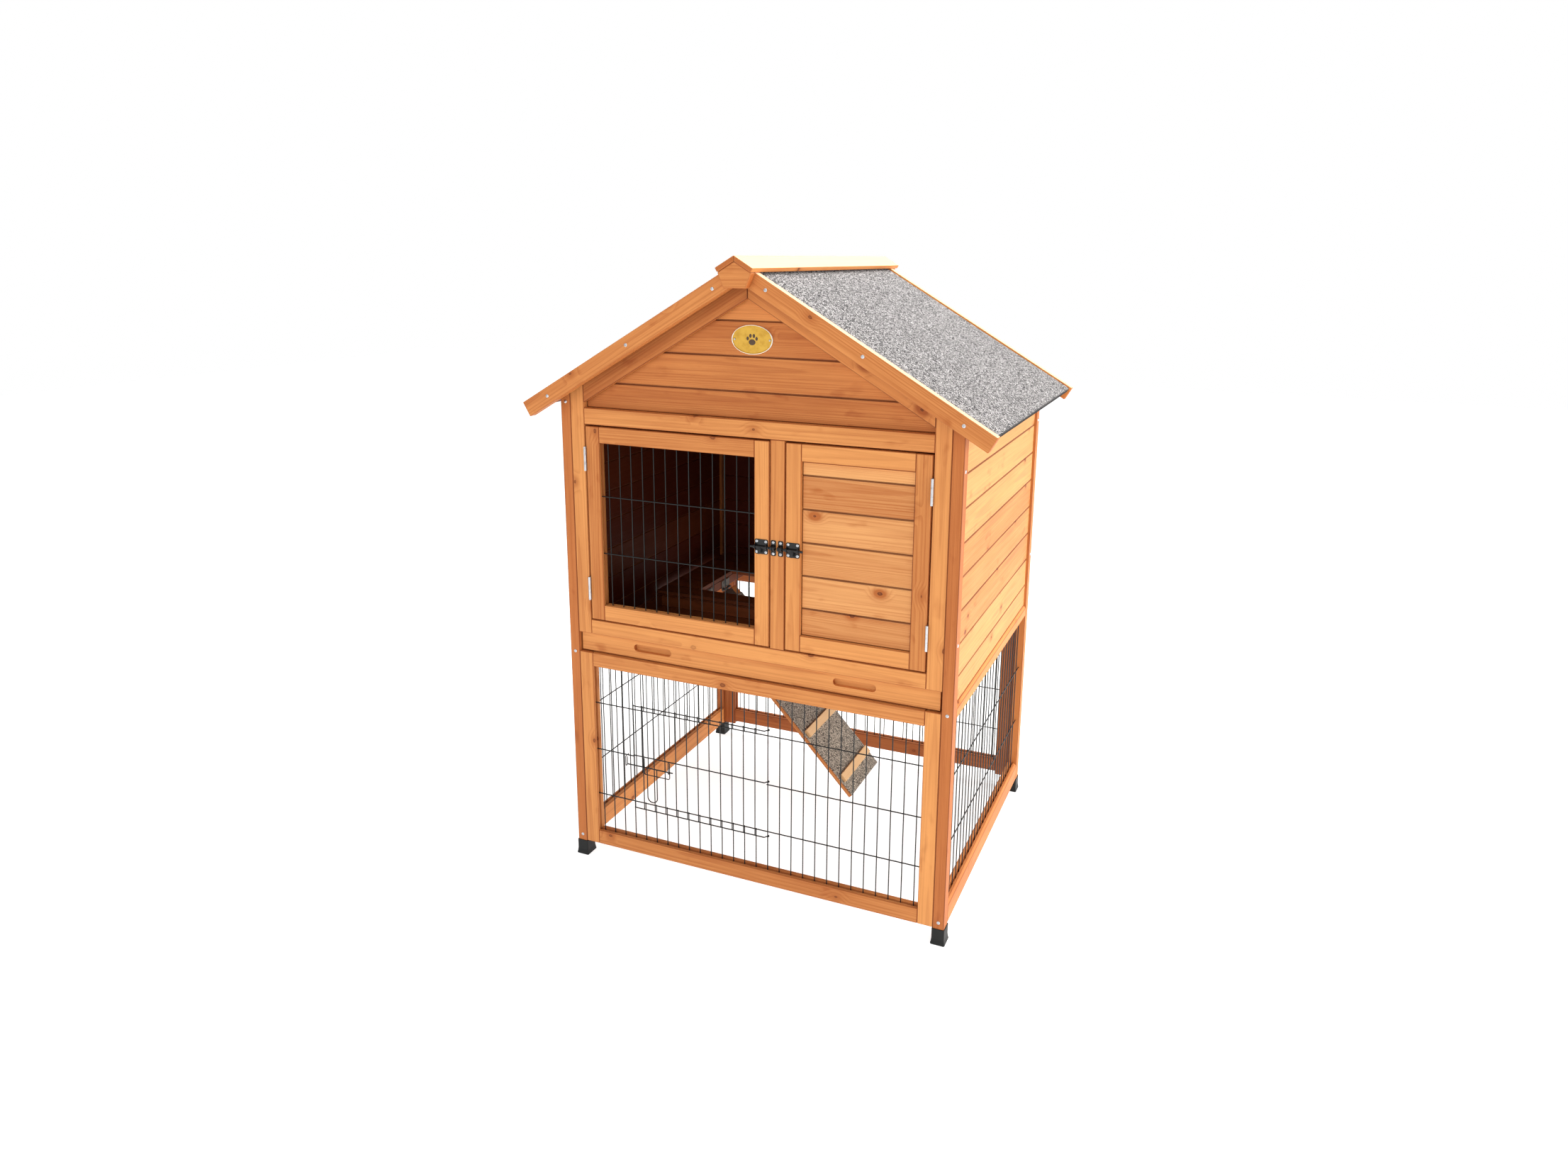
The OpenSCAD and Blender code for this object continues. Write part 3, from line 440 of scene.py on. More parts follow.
# ---- Front frame and gable ----
# Square stiles and rails, glued and pinned flush with the posts, round the two doors. Above them four
# wide boards fill the gable behind a mitred trim under the roof.
front_fir = stained_fir("front_fir", (0.75, 0.325, 0.10), (0.38, 0.10, 0.02), (0.30, 0.07, 0.016))
# The gable's fir is a darker copy of the front's: painted shade for the shade under the roof's overhang,
# with very dark joints.
shaded_gable_fir = stained_fir("shaded_gable_fir", (0.68, 0.265, 0.075), (0.34, 0.085, 0.018), (0.09, 0.016, 0.005),
                        knots=1.5)
for node in ("front_stiles", "front_rails", "front_mullion", "run_front_frame", "side_rails"):
    timber(node, front_fir)
timber("gable_trims", shaded_gable_fir)
timber("gable_boards", shaded_gable_fir, ease=0.0022, tongue=0.0002)

# ---- Walls ----
# Tongued boards with a V-joint every 62 mm, between rails with a bevelled top edge. The back is made
# the same way, in a darker copy of the fir. Faces that look into the hutch get painted shade, and the
# back's darker fir is painted shade too, for the shade behind the mesh.
wall_fir = stained_fir("wall_fir", (0.78, 0.375, 0.128), (0.46, 0.145, 0.034), (0.16, 0.034, 0.008),
                       knots=1.2)
shaded_back_fir = stained_fir("shaded_back_fir", (0.46, 0.145, 0.038), (0.24, 0.055, 0.012), (0.10, 0.018, 0.004))
for node in ("left_wall_boards", "right_wall_boards"):
    timber(node, wall_fir, ease=0.0024, inside_shade=2.2, tongue=0.0002)
timber("back_wall_boards", shaded_back_fir, ease=0.0024, inside_shade=2.6, tongue=0.0002)
timber("back_frame", shaded_back_fir)

# ---- Floor, joists, runners and roof bearers ----
# Rough-sawn boards and battens inside the cabin, in a much darker copy of the fir: painted shade for
# the shade they stand in.
shaded_floor_fir = stained_fir("shaded_floor_fir", (0.26, 0.065, 0.018), (0.12, 0.026, 0.007), (0.04, 0.008, 0.003))
for node in ("floor_boards", "floor_joists", "tray_runners", "roof_bearers", "left_roof_panel",
             "right_roof_panel"):
    timber(node, shaded_floor_fir)

# ---- Roof edges ----
# Bargeboards are screwed to the ends of the roof, and a wedge-topped block closes the point where
# they meet. Two thin boards make the ridge cap over the felt.
# The bargeboards, ridge cap and blocks have their upper parts painted pale: a painted highlight for the
# light from above.
edge_fir = stained_fir("edge_fir", (0.76, 0.325, 0.098), (0.38, 0.10, 0.02), (0.42, 0.13, 0.035),
                       painted_top_light=0.4)
for node in ("front_bargeboards", "rear_bargeboards", "ridge_cap_boards"):
    timber(node, edge_fir)
timber("ridge_blocks", edge_fir, ease=0.002)


# ---- Roofing felt ----
# Bitumen felt with mineral grit pressed into it: flat grains of two or three millimetres, white, grey
# and black. It lies a little unevenly on the deck and turns down over the eave, where the grit is thin.
def gritted_felt(name, pale, black, grain_scale, eave=False):
    material, shader, start = new_material(name)
    place = start.node("TexCoord", {}, {}, 3)
    warped = place.node("VectorMath", {"operation": "ADD"},
                        {0: place, 1: place.node("TexNoise", {}, {"Vector": place, "Scale": 300.0},
                                                 1).stretch(0.002, 0.002, 0.002)})
    grains = {"Vector": warped, "Scale": grain_scale}
    grain = warped.node("TexVoronoi", {}, grains, 1).part("X")
    middle_of_grain = warped.node("TexVoronoi", {}, grains, 0)
    small = warped.node("TexVoronoi", {}, {"Vector": warped, "Scale": grain_scale * 2}, 1).part("Y")
    stops = [(0.0, (0.008, 0.008, 0.009)), (black, (0.03, 0.028, 0.03)),
             (black + 0.14, [0.24 * c for c in pale]), (0.66, [0.5 * c for c in pale]), (1.0, pale)]
    colour = grain.node("ValToRGB", {"stops": stops}, {0: grain * 0.85 + small * 0.15})
    patch = place.noise(9.0, 3.0)
    colour = (patch.between(0.4, 0.75) * 0.15).tint(colour, (0.26, 0.24, 0.25))
    gap = middle_of_grain.between(0.45, 0.75)
    colour = (gap * 0.75).tint(colour, (0.03, 0.03, 0.034))
    if eave:
        edge = start.node("Attribute", {"attribute_name": "eave"}, {}, 2)
        bare = (edge + (grain - 0.5) * 0.8).between(0.45, 0.62)
        colour = (bare * 0.92).tint(colour, (0.006, 0.006, 0.007))
    feed(shader, Base_Color=colour, Roughness=0.82 + small * 0.15,
         Normal=bump(1 - middle_of_grain + small * 0.4, 0.8, 0.0012), Specular_IOR_Level=0.25)
    return material


def felt_sheet(node, name, material, side):
    """The felt on one slope: a skin over the deck that rises and falls a little, and its lip."""
    low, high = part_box(node)
    pitch = math.radians(30.4)
    down = Vector((side * math.cos(pitch), 0, -math.sin(pitch)))
    out = Vector((side * math.sin(pitch), 0, math.cos(pitch)))
    eave_x = high.x if side > 0 else -low.x
    top = Vector((0, 0, high.z))
    felt_thick, lip, curl = 0.0019, 0.0110, 0.0022
    run = (eave_x - 0.0002) / math.cos(pitch) - 0.0012
    rows, columns = 58, 92
    dice = random.Random(name)
    waves = [(dice.uniform(8, 40), dice.uniform(8, 40), dice.uniform(0, 6.3)) for _ in range(6)]
    shape = bmesh.new()
    eave = shape.verts.layers.float.new("eave")
    outer, inner = [], []
    for j in range(columns + 1):
        y = low.y + (high.y - low.y) * j / columns
        profile = [(run * i / rows, 0.0, 0.0) for i in range(rows)]
        for k in range(5):
            turn = math.radians(90 * k / 4)
            profile.append((run - curl + curl * math.sin(turn), -curl + curl * math.cos(turn), k / 8))
        ragged = dice.uniform(-0.0007, 0.0)
        profile += [(run, -0.006, 0.75), (run, -lip - ragged, 1.0)]
        ring_out, ring_in = [], []
        for u, n, bare in profile:
            wave = sum(math.sin(u * a + y * b + c) for a, b, c in waves) / len(waves)
            sink = -0.0003 + 0.0003 * wave if n == 0 else 0.0
            inward = felt_thick if n < -curl else 0.0
            ring_out.append(shape.verts.new(top + down * u + out * (n + sink) + Vector((0, y, 0))))
            ring_in.append(shape.verts.new(top + down * (u - inward) + Vector((0, y, 0))
                                           + out * (max(n, -lip) + (sink if inward else -felt_thick))))
            ring_out[-1][eave] = bare
            ring_in[-1][eave] = 1.0
        outer.append(ring_out)
        inner.append(ring_in)
    for a in range(columns):
        for b in range(len(outer[0]) - 1):
            shape.faces.new((outer[a][b], outer[a][b + 1], outer[a + 1][b + 1], outer[a + 1][b]))
            shape.faces.new((inner[a][b], inner[a + 1][b], inner[a + 1][b + 1], inner[a][b + 1]))
        for b in (0, -1):
            shape.faces.new((outer[a][b], outer[a + 1][b], inner[a + 1][b], inner[a][b]))
    for a in (0, -1):
        for b in range(len(outer[0]) - 1):
            shape.faces.new((outer[a][b], outer[a][b + 1], inner[a][b + 1], inner[a][b]))
    bmesh.ops.recalc_face_normals(shape, faces=shape.faces)
    return make_piece(shape, name, material, "frame", [node], 60)


roof_grit = gritted_felt("roof_grit", (0.66, 0.64, 0.64), 0.34, 500.0, eave=True)
felt_sheet("left_roof_felt", "left_felt_sheet", roof_grit, -1)
felt_sheet("right_roof_felt", "right_felt_sheet", roof_grit, 1)


# ---- Screws ----
# Zinc-plated cross-head wood screws with shallow domed heads. Each one sinks a hair into the stain.
def zinc_plate(name, colour, roughness):
    material, shader, start = new_material(name)
    place = start.node("TexCoord", {}, {}, 3)
    spangle = place.noise(700.0, 3.0, 0.6)
    dull = place.noise(120.0, 3.0).between(0.45, 0.7)
    feed(shader, Base_Color=(dull * 0.5).tint(colour, tuple(c * 0.6 for c in colour)), Metallic=1.0,
         Roughness=roughness + dull * 0.22, Normal=bump(spangle, 0.15, 0.0002))
    return material


def screw_head(radius, rise, shank):
    """A domed head with a cross cut in it, its seat at the origin and its top towards -Z."""
    shape = bmesh.new()
    turns = 32
    arm, reach, dip = radius * 0.13, radius * 0.58, rise * 0.75
    profile = [(0.0, -rise), (radius * 0.3, -rise * 0.97), (radius * 0.6, -rise * 0.86),
               (radius * 0.85, -rise * 0.55), (radius * 0.97, -rise * 0.2), (radius, 0.0),
               (radius * 0.5, radius * 0.35), (radius * 0.45, shank * 0.7), (0.0, shank)]
    rows = []
    for r, z in profile:
        count = turns if r else 1
        rows.append([shape.verts.new((r * math.cos(math.tau * k / count),
                                      r * math.sin(math.tau * k / count), z)) for k in range(count)])
    for low, high in zip(rows, rows[1:]):
        for k in range(turns):
            n = (k + 1) % turns
            if len(low) == 1:
                shape.faces.new((low[0], high[n], high[k]))
            elif len(high) == 1:
                shape.faces.new((low[k], low[n], high[0]))
            else:
                shape.faces.new((low[k], low[n], high[n], high[k]))
    bmesh.ops.recalc_face_normals(shape, faces=shape.faces)
    head = bpy.data.meshes.new("head")
    shape.to_mesh(head)
    shape.free()
    cutter = bmesh.new()
    outline = [(arm, reach), (-arm, reach), (-arm, arm), (-reach, arm), (-reach, -arm), (-arm, -arm),
               (-arm, -reach), (arm, -reach), (arm, -arm), (reach, -arm), (reach, arm), (arm, arm)]
    tops = [cutter.verts.new((x, y, -rise * 2)) for x, y in outline]
    feet = [cutter.verts.new((x * 0.55, y * 0.55, -rise + dip)) for x, y in outline]
    cutter.faces.new(tops)
    cutter.faces.new(feet[::-1])
    for k in range(len(outline)):
        n = (k + 1) % len(outline)
        cutter.faces.new((tops[k], feet[k], feet[n], tops[n]))
    bmesh.ops.recalc_face_normals(cutter, faces=cutter.faces)
    cross = bpy.data.meshes.new("cross")
    cutter.to_mesh(cross)
    cutter.free()
    blank = bpy.data.objects.new("blank", head)
    punch = bpy.data.objects.new("punch", cross)
    scene.collection.objects.link(blank)
    scene.collection.objects.link(punch)
    cut = blank.modifiers.new("cross", "BOOLEAN")
    cut.operation, cut.object, cut.solver = "DIFFERENCE", punch, "EXACT"
    bpy.context.view_layer.update()
    made = bpy.data.meshes.new_from_object(blank.evaluated_get(bpy.context.evaluated_depsgraph_get()))
    for spare in (blank, punch):
        bpy.data.objects.remove(spare)
    return made


def centres_of(node):
    """The middle of each solid of a CAD node, with its lowest and highest corners."""
    found = []
    for solid in boards_of(node):
        low = Vector([min(v.co[k] for v in solid.verts) for k in range(3)])
        high = Vector([max(v.co[k] for v in solid.verts) for k in range(3)])
        solid.free()
        found.append(((low + high) / 2, low, high))
    return found


def screws(node, name, body, head_rise=0.0014):
    """Detailed screws where a CAD node has plain ones, each turned to its own angle."""
    dice = random.Random(name)
    heads = []
    for centre, low, high in centres_of(node):
        size = high - low
        axis = max(range(3), key=lambda k: size[k])
        radius = min(size) / 2
        outward = Vector((0, 0, 0))
        outward[axis] = -1 if centre[axis] < 0 else 1
        seat = centre.copy()
        seat[axis] = high[axis] - head_rise if outward[axis] > 0 else low[axis] + head_rise
        turn = outward.to_track_quat("-Z", "Y").to_matrix().to_4x4()
        one = bmesh.new()
        one.from_mesh(screw_head(radius, head_rise, size[axis] - head_rise))
        spin = Matrix.Rotation(dice.uniform(0, math.tau), 4, "Z")
        bmesh.ops.transform(one, matrix=Matrix.Translation(seat) @ turn @ spin, verts=one.verts)
        heads.append(one)
    return make_piece(joined(heads), name, bright_zinc, body, [node], 40)


bright_zinc = zinc_plate("bright_zinc", (0.58, 0.60, 0.63), 0.32)
screws("post_screws", "post_cross_screws", "frame")
screws("bargeboard_screws", "bargeboard_cross_screws", "frame")
screws("keeper_screws", "keeper_cross_screws", "frame")
screws("left_bolt_screws", "left_bolt_cross_screws", "left_door")
screws("right_bolt_screws", "right_bolt_cross_screws", "right_door")

# ---- Door hinges ----
# Slim butt hinges in the gap beside each door: three rolled knuckles on a pin, and thin leaves. The
# ramp's two hang on the same kind, gone dull.
dull_zinc = zinc_plate("dull_zinc", (0.16, 0.145, 0.13), 0.6)
hinges = {"frame_hinge_halves": bright_zinc, "hinge_pins": bright_zinc,
          "left_door_hinge_halves": bright_zinc, "right_door_hinge_halves": bright_zinc,
          "ramp_hinge_fixed": dull_zinc, "ramp_hinge_moving": dull_zinc}
for node, plating in hinges.items():
    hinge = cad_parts[node]
    hinge.data.materials.clear()
    hinge.data.materials.append(plating)
    eased = hinge.modifiers.new("eased", "BEVEL")
    eased.width = 0.00015
    eased.segments = 1
    eased.limit_method = "ANGLE"


# ---- Welded mesh ----
# Black powder-coated steel wire. Uprights stand an inch apart, and each cross wire is welded to the
# front of them; the ends run on into grooves in the frame.
def coated_steel(name, colour, roughness):
    material, shader, start = new_material(name)
    place = start.node("TexCoord", {}, {}, 3)
    orange_peel = place.noise(1500.0, 2.0)
    worn = place.noise(45.0, 4.0, 0.7).between(0.62, 0.8)
    feed(shader, Base_Color=(worn * 0.6).tint(colour, (0.03, 0.033, 0.033)),
         Roughness=roughness + worn * 0.25, Normal=bump(orange_peel, 0.2, 0.0002), Coat_Weight=0.1,
         Specular_IOR_Level=0.3)
    return material


def rounded_path(corners, radius, steps=6):
    """A polyline with its corners turned on arcs, as wire bends."""
    corners = [Vector(c) for c in corners]
    path = [corners[0]]
    for before, corner, after in zip(corners, corners[1:], corners[2:]):
        a, b = (before - corner).normalized(), (after - corner).normalized()
        half = a.angle(b) / 2
        back = min(radius / math.tan(half), (before - corner).length / 2, (after - corner).length / 2)
        true_radius = back * math.tan(half)
        centre = corner + (a + b).normalized() * math.hypot(back, true_radius)
        start = (corner + a * back - centre).normalized()
        stop = (corner + b * back - centre).normalized()
        for k in range(steps + 1):
            path.append(centre + start.slerp(stop, k / steps) * true_radius)
    path.append(corners[-1])
    return path


def tube(path, radius, sides=10):
    """A round wire along a path, with slightly domed ends."""
    path = [Vector(p) for p in path]
    headings = [(b - a).normalized() for a, b in zip(path, path[1:])]
    first, last = headings[0], headings[-1]
    path = ([path[0], path[0] + first * radius * 0.4] + path[1:-1]
            + [path[-1] - last * radius * 0.4, path[-1]])
    widths = [radius * 0.6] + [radius] * (len(path) - 2) + [radius * 0.6]
    side = first.orthogonal().normalized()
    rings = []
    for k, (point, width) in enumerate(zip(path, widths)):
        heading = (path[min(k + 1, len(path) - 1)] - path[max(k - 1, 0)]).normalized()
        side = (side - heading * side.dot(heading)).normalized()
        up = heading.cross(side)
        rings.append([point + (side * math.cos(math.tau * s / sides)
                               + up * math.sin(math.tau * s / sides)) * width for s in range(sides)])
    return loft(rings)


black_wire = coated_steel("black_wire", (0.006, 0.007, 0.007), 0.4)
wire_pitch = 0.0254
upright_r = 0.0011
cross_r = 0.0012
weld_step = upright_r + cross_r - 0.0005
run_count = 28
run_crosses = (0.355, 0.251, 0.149)


def evenly(count, middle=0.0):
    """Where that many uprights stand, a pitch apart and centred on a middle."""
    return [middle + (i - (count - 1) / 2) * wire_pitch for i in range(count)]


def panel_wires(uprights, crosses):
    """Round wires for upright (x, y, low z, high z) and cross (start, end) runs."""
    shapes = [tube([(x, y, low), (x, y, high)], upright_r) for x, y, low, high in uprights]
    shapes += [tube([start, end], cross_r) for start, end in crosses]
    return shapes


# The back panel and the two side panels are whole sheets.
back_low, back_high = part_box("back_run_mesh")
back_y = back_high.y - upright_r
make_piece(
    joined(panel_wires(
        [(x, back_y, back_low.z, back_high.z) for x in evenly(run_count)],
        [((back_low.x, back_y - weld_step, z), (back_high.x, back_y - weld_step, z))
         for z in run_crosses])),
    "back_welded_mesh", black_wire, "frame", ["back_run_mesh"], 60)

side_low, side_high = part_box("side_run_meshes")
side_middle_y = (side_low.y + side_high.y) / 2
side_weld = 0.0007
side_x = side_high.x - 2 * cross_r - upright_r + side_weld
side_crosses = (0.3206, 0.1859)
side_wires = []
for side in (-1, 1):
    x = side * side_x
    side_wires += panel_wires(
        [(x, y, side_low.z, side_high.z) for y in evenly(24, side_middle_y)],
        [((x + side * weld_step, side_low.y, z), (x + side * weld_step, side_high.y, z))
         for z in side_crosses])
make_piece(joined(side_wires), "side_welded_mesh", black_wire, "frame",
           ["side_run_meshes"], 60)

# The front panel has a doorway cut in it, from its fourth upright to its sixteenth. A small wire loop
# on it beside the doorway catches the wire door's slide.
mesh_low, mesh_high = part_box("run_front_mesh")
mesh_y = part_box("run_front_frame")[0].y + 0.009
foot_z, top_z = 0.060, 0.442
head_z, middle_cross_z, sill_z = run_crosses
cut_end = 0.001
front_x = evenly(run_count)
left_edge, right_edge = front_x[3], front_x[15]
front_uprights = []
for x in front_x:
    if left_edge < x < right_edge:
        front_uprights += [(x, mesh_y, head_z - cut_end, top_z), (x, mesh_y, foot_z, sill_z + cut_end)]
    else:
        front_uprights.append((x, mesh_y, foot_z, top_z))
cross_y = mesh_y - weld_step
front_crosses = [((mesh_low.x, cross_y, z), (mesh_high.x, cross_y, z)) for z in (head_z, sill_z)]
front_crosses += [((mesh_low.x, cross_y, middle_cross_z), (left_edge + 0.002, cross_y, middle_cross_z)),
                  ((right_edge - 0.002, cross_y, middle_cross_z), (mesh_high.x, cross_y, middle_cross_z))]
slide_r = 0.0013
slide_low, slide_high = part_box("wire_door_latch")
slide_z = slide_high.z - slide_r
slide_y = slide_high.y - slide_r
catch_x = slide_low.x - 0.0022
catch_z = 0.2535
catch_half = 0.003
catch_loop = rounded_path([(catch_x, cross_y + cross_r, catch_z), (catch_x, slide_y - catch_half, catch_z),
                           (catch_x, slide_y - catch_half, slide_z - 0.0032),
                           (catch_x, slide_y + catch_half, slide_z - 0.0032),
                           (catch_x, slide_y + catch_half, catch_z - 0.0035)], 0.0022)
make_piece(joined(panel_wires(front_uprights, front_crosses) + [tube(catch_loop, 0.0009)]),
           "front_welded_mesh", black_wire, "frame", ["run_front_mesh"], 60)


# ---- Wire door and its slide ----
# A light welded panel over the doorway in the run's mesh. It turns on one of the run's own uprights,
# held by three wire clips, and a slide with a drop handle runs through two loops bent from one wire.
hang_low, hang_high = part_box("wire_door")
hang_y = mesh_y - 0.0054
hang_crosses = (0.366, 0.2565, 0.138)
hang_left = left_edge + 0.0037
door_wires = [tube([(hang_left, hang_y, hang_low.z), (hang_left, hang_y, hang_high.z)], 0.0014)]
for x in front_x[4:15]:
    door_wires.append(tube([(x, hang_y, hang_low.z), (x, hang_y, hang_high.z)], upright_r))
hook_r = 0.0026
for z in hang_crosses:
    y = hang_y - weld_step
    hook = [(hang_left - 0.0006, y, z), (right_edge - 0.004, y, z)]
    for k in range(9):
        turn = math.radians(235 + 29 * k)
        hook.append((right_edge + hook_r * math.cos(turn), mesh_y + hook_r * math.sin(turn), z))
    door_wires.append(tube(hook, cross_r))
loop_r = 0.0010
loop_back, loop_front = slide_y + 0.0026, slide_y - 0.0026
loop_left, loop_right = -0.2385, -0.1790
loop_top, loop_drop = slide_z + 0.003, slide_z - 0.017
for x in (loop_left, loop_right):
    loop = [(x, hang_y - weld_step, 0.2571), (x, loop_front, 0.2571), (x, loop_front, slide_z - 0.003),
            (x, loop_back, slide_z - 0.003), (x, loop_back, 0.2540)]
    door_wires.append(tube(rounded_path(loop, 0.0022), loop_r))
join = [(loop_left, loop_back, loop_top), (loop_left, loop_back, loop_drop),
        (loop_right, loop_back, loop_drop), (loop_right, loop_back, loop_top)]
door_wires.append(tube(rounded_path(join, 0.004), loop_r))
make_piece(joined(door_wires), "hinged_wire_door", black_wire, "run_door",
           ["wire_door"], 60)

handle_x = (-0.2295, -0.2070)
handle_y = slide_low.y + upright_r
drop = slide_low.z + upright_r
handle = rounded_path([(handle_x[0], handle_y, slide_z), (handle_x[0], handle_y, drop),
                       (handle_x[1], handle_y, drop), (handle_x[1], handle_y, slide_z)], 0.0112, 12)
slide = [tube([(slide_low.x, slide_y, slide_z), (slide_high.x, slide_y, slide_z)], slide_r),
         tube(handle, upright_r)]
make_piece(joined(slide), "wire_slide", black_wire, "run_door_slide",
           ["wire_door_latch"], 60)

# ---- Cabin doors ----
# The left door is a grooved frame round a mesh panel. The right one is a frame filled with narrow
# V-jointed boards that lie back from its face.
timber("left_door_frame", front_fir, "left_door")
timber("right_door_frame", front_fir, "right_door")
panel_fir = stained_fir("panel_fir", (0.78, 0.385, 0.142), (0.42, 0.12, 0.026), (0.10, 0.018, 0.005),
                        knots=1.5)
timber("right_door_boards", panel_fir, "right_door", ease=0.0022, tongue=0.0002)
pane_low, pane_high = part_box("left_door_mesh")
pane_middle = (pane_low.x + pane_high.x) / 2
pane_y = pane_high.y - upright_r
make_piece(
    joined(panel_wires(
        [(x, pane_y, pane_low.z, pane_high.z) for x in evenly(13, pane_middle)],
        [((pane_low.x, pane_y - weld_step, z), (pane_high.x, pane_y - weld_step, z))
         for z in (0.797, 0.6805)])),
    "left_door_welded_mesh", black_wire, "left_door", ["left_door_mesh"], 60)


# ---- Barrel bolts ----
# Small black barrel bolts: a pressed plate with raised straps, a round rod through them and a flat
# lever turned down from the rod. Each slides into a bridge-shaped keeper on the mullion.
black_iron = coated_steel("black_iron", (0.007, 0.007, 0.008), 0.3)
plate_thick = 0.0012


def pressed_plate(low, high, corner):
    """A thin upright plate in X and Z with round corners and eased edges."""
    ring = rounded_rectangle((low.x, low.z), (high.x, high.z), corner, 0)
    thick = high.y - low.y
    rings = []
    for share, inset in ((1.0, 0.0), (0.35, 0.0), (0.0, 0.0004)):
        middle_x, middle_z = (low.x + high.x) / 2, (low.z + high.z) / 2
        row = []
        for p in ring:
            x = middle_x + (p.x - middle_x) * (1 - inset / (high.x - middle_x))
            z = middle_z + (p.y - middle_z) * (1 - inset / (high.z - middle_z))
            row.append(Vector((x, low.y + thick * share, z)))
        rings.append(row)
    return loft(rings)


def bridge(x, width, y_face, centre, outer, gauge=0.0011):
    """A strap pressed up over the rod: flat feet on the plate and a round arch between them."""
    arc = []
    for k in range(17):
        turn = math.radians(180 * k / 16)
        arc.append((centre.z + outer * math.cos(turn), centre.y - outer * math.sin(turn)))
    foot = 0.0016
    line = [(arc[0][0] + foot, y_face), (arc[0][0], y_face)] + arc
    line += [(arc[-1][0], y_face), (arc[-1][0] - foot, y_face)]
    shape = bmesh.new()
    rows = []
    for k, (z, y) in enumerate(line):
        before, after = line[max(k - 1, 0)], line[min(k + 1, len(line) - 1)]
        heading = Vector((after[0] - before[0], after[1] - before[1])).normalized()
        normal = Vector((heading.y, -heading.x))
        inner = Vector((z, y)) + normal * gauge
        rows.append([shape.verts.new((x, y, z)), shape.verts.new((x + width, y, z)),
                     shape.verts.new((x + width, inner.y, inner.x)),
                     shape.verts.new((x, inner.y, inner.x))])
    for a, b in zip(rows, rows[1:]):
        for k in range(4):
            n = (k + 1) % 4
            shape.faces.new((a[k], a[n], b[n], b[k]))
    shape.faces.new(rows[0][::-1])
    shape.faces.new(rows[-1])
    bmesh.ops.recalc_face_normals(shape, faces=shape.faces)
    return shape


def barrel_bolt(hand, side):
    """One door's bolt: its plate and straps ride on the door, its rod on the bolt's own body."""
    low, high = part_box(side + "_bolt_housing")
    rod_low, rod_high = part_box(side + "_bolt")
    face = high.y
    rod_r = 0.0024
    centre = Vector((0, face - 0.00438, rod_high.z - rod_r))
    plate = pressed_plate(Vector((low.x, face - plate_thick, low.z)), high, 0.003)
    strap_wide = 0.003
    straps = [bridge(x, strap_wide, face - plate_thick, centre, 0.0040)
              for x in (low.x + 0.0002, high.x - 0.0002 - strap_wide)]
    make_piece(joined([plate] + straps), side + "_bolt_plate", black_iron, side + "_door",
               [side + "_bolt_housing"], 40)
    rod = tube([(rod_low.x, centre.y, centre.z), (rod_high.x, centre.y, centre.z)], rod_r, 24)
    lever_back = 0.0196
    lever_x = rod_high.x - lever_back if hand > 0 else rod_low.x + lever_back
    lever_thick = 0.0008
    lever = []
    for down, out, half, lean in ((0.0, 0.0024, 0.0014, 0), (0.001, 0.0030, 0.0018, 0),
                                  (0.004, 0.0034, 0.0021, 0.1), (0.009, 0.0034, 0.0025, 0.45),
                                  (0.0122, 0.0033, 0.0026, 0.8), (0.013, 0.0032, 0.0018, 0.9)):
        x, y, z = lever_x - lean * 0.0016, centre.y - out, centre.z + 0.0005 - down
        ring = [(-half, -0.25), (-half * 0.7, -1), (half * 0.7, -1), (half, -0.25), (half * 0.7, 1),
                (-half * 0.7, 1)]
        lever.append([Vector((x + across, y + lever_thick * depth, z)) for across, depth in ring])
    make_piece(joined([rod, loft(lever)]), side + "_bolt_rod_and_lever", black_iron,
               side + "_bolt_rod", [side + "_bolt"], 40)


barrel_bolt(1, "left")
barrel_bolt(-1, "right")
keepers = []
for centre, low, high in centres_of("bolt_keepers"):
    face = high.y
    keepers.append(pressed_plate(Vector((low.x, face - plate_thick, low.z)), high, 0.0025))
    for shift in (0.0006, 0.0058):
        keepers.append(bridge(low.x + shift, 0.0040, face - plate_thick,
                              Vector((0, face - 0.0044, centre.z)), 0.0043))
make_piece(joined(keepers), "bolt_keeper_plates", black_iron, "frame",
           ["bolt_keepers"], 40)


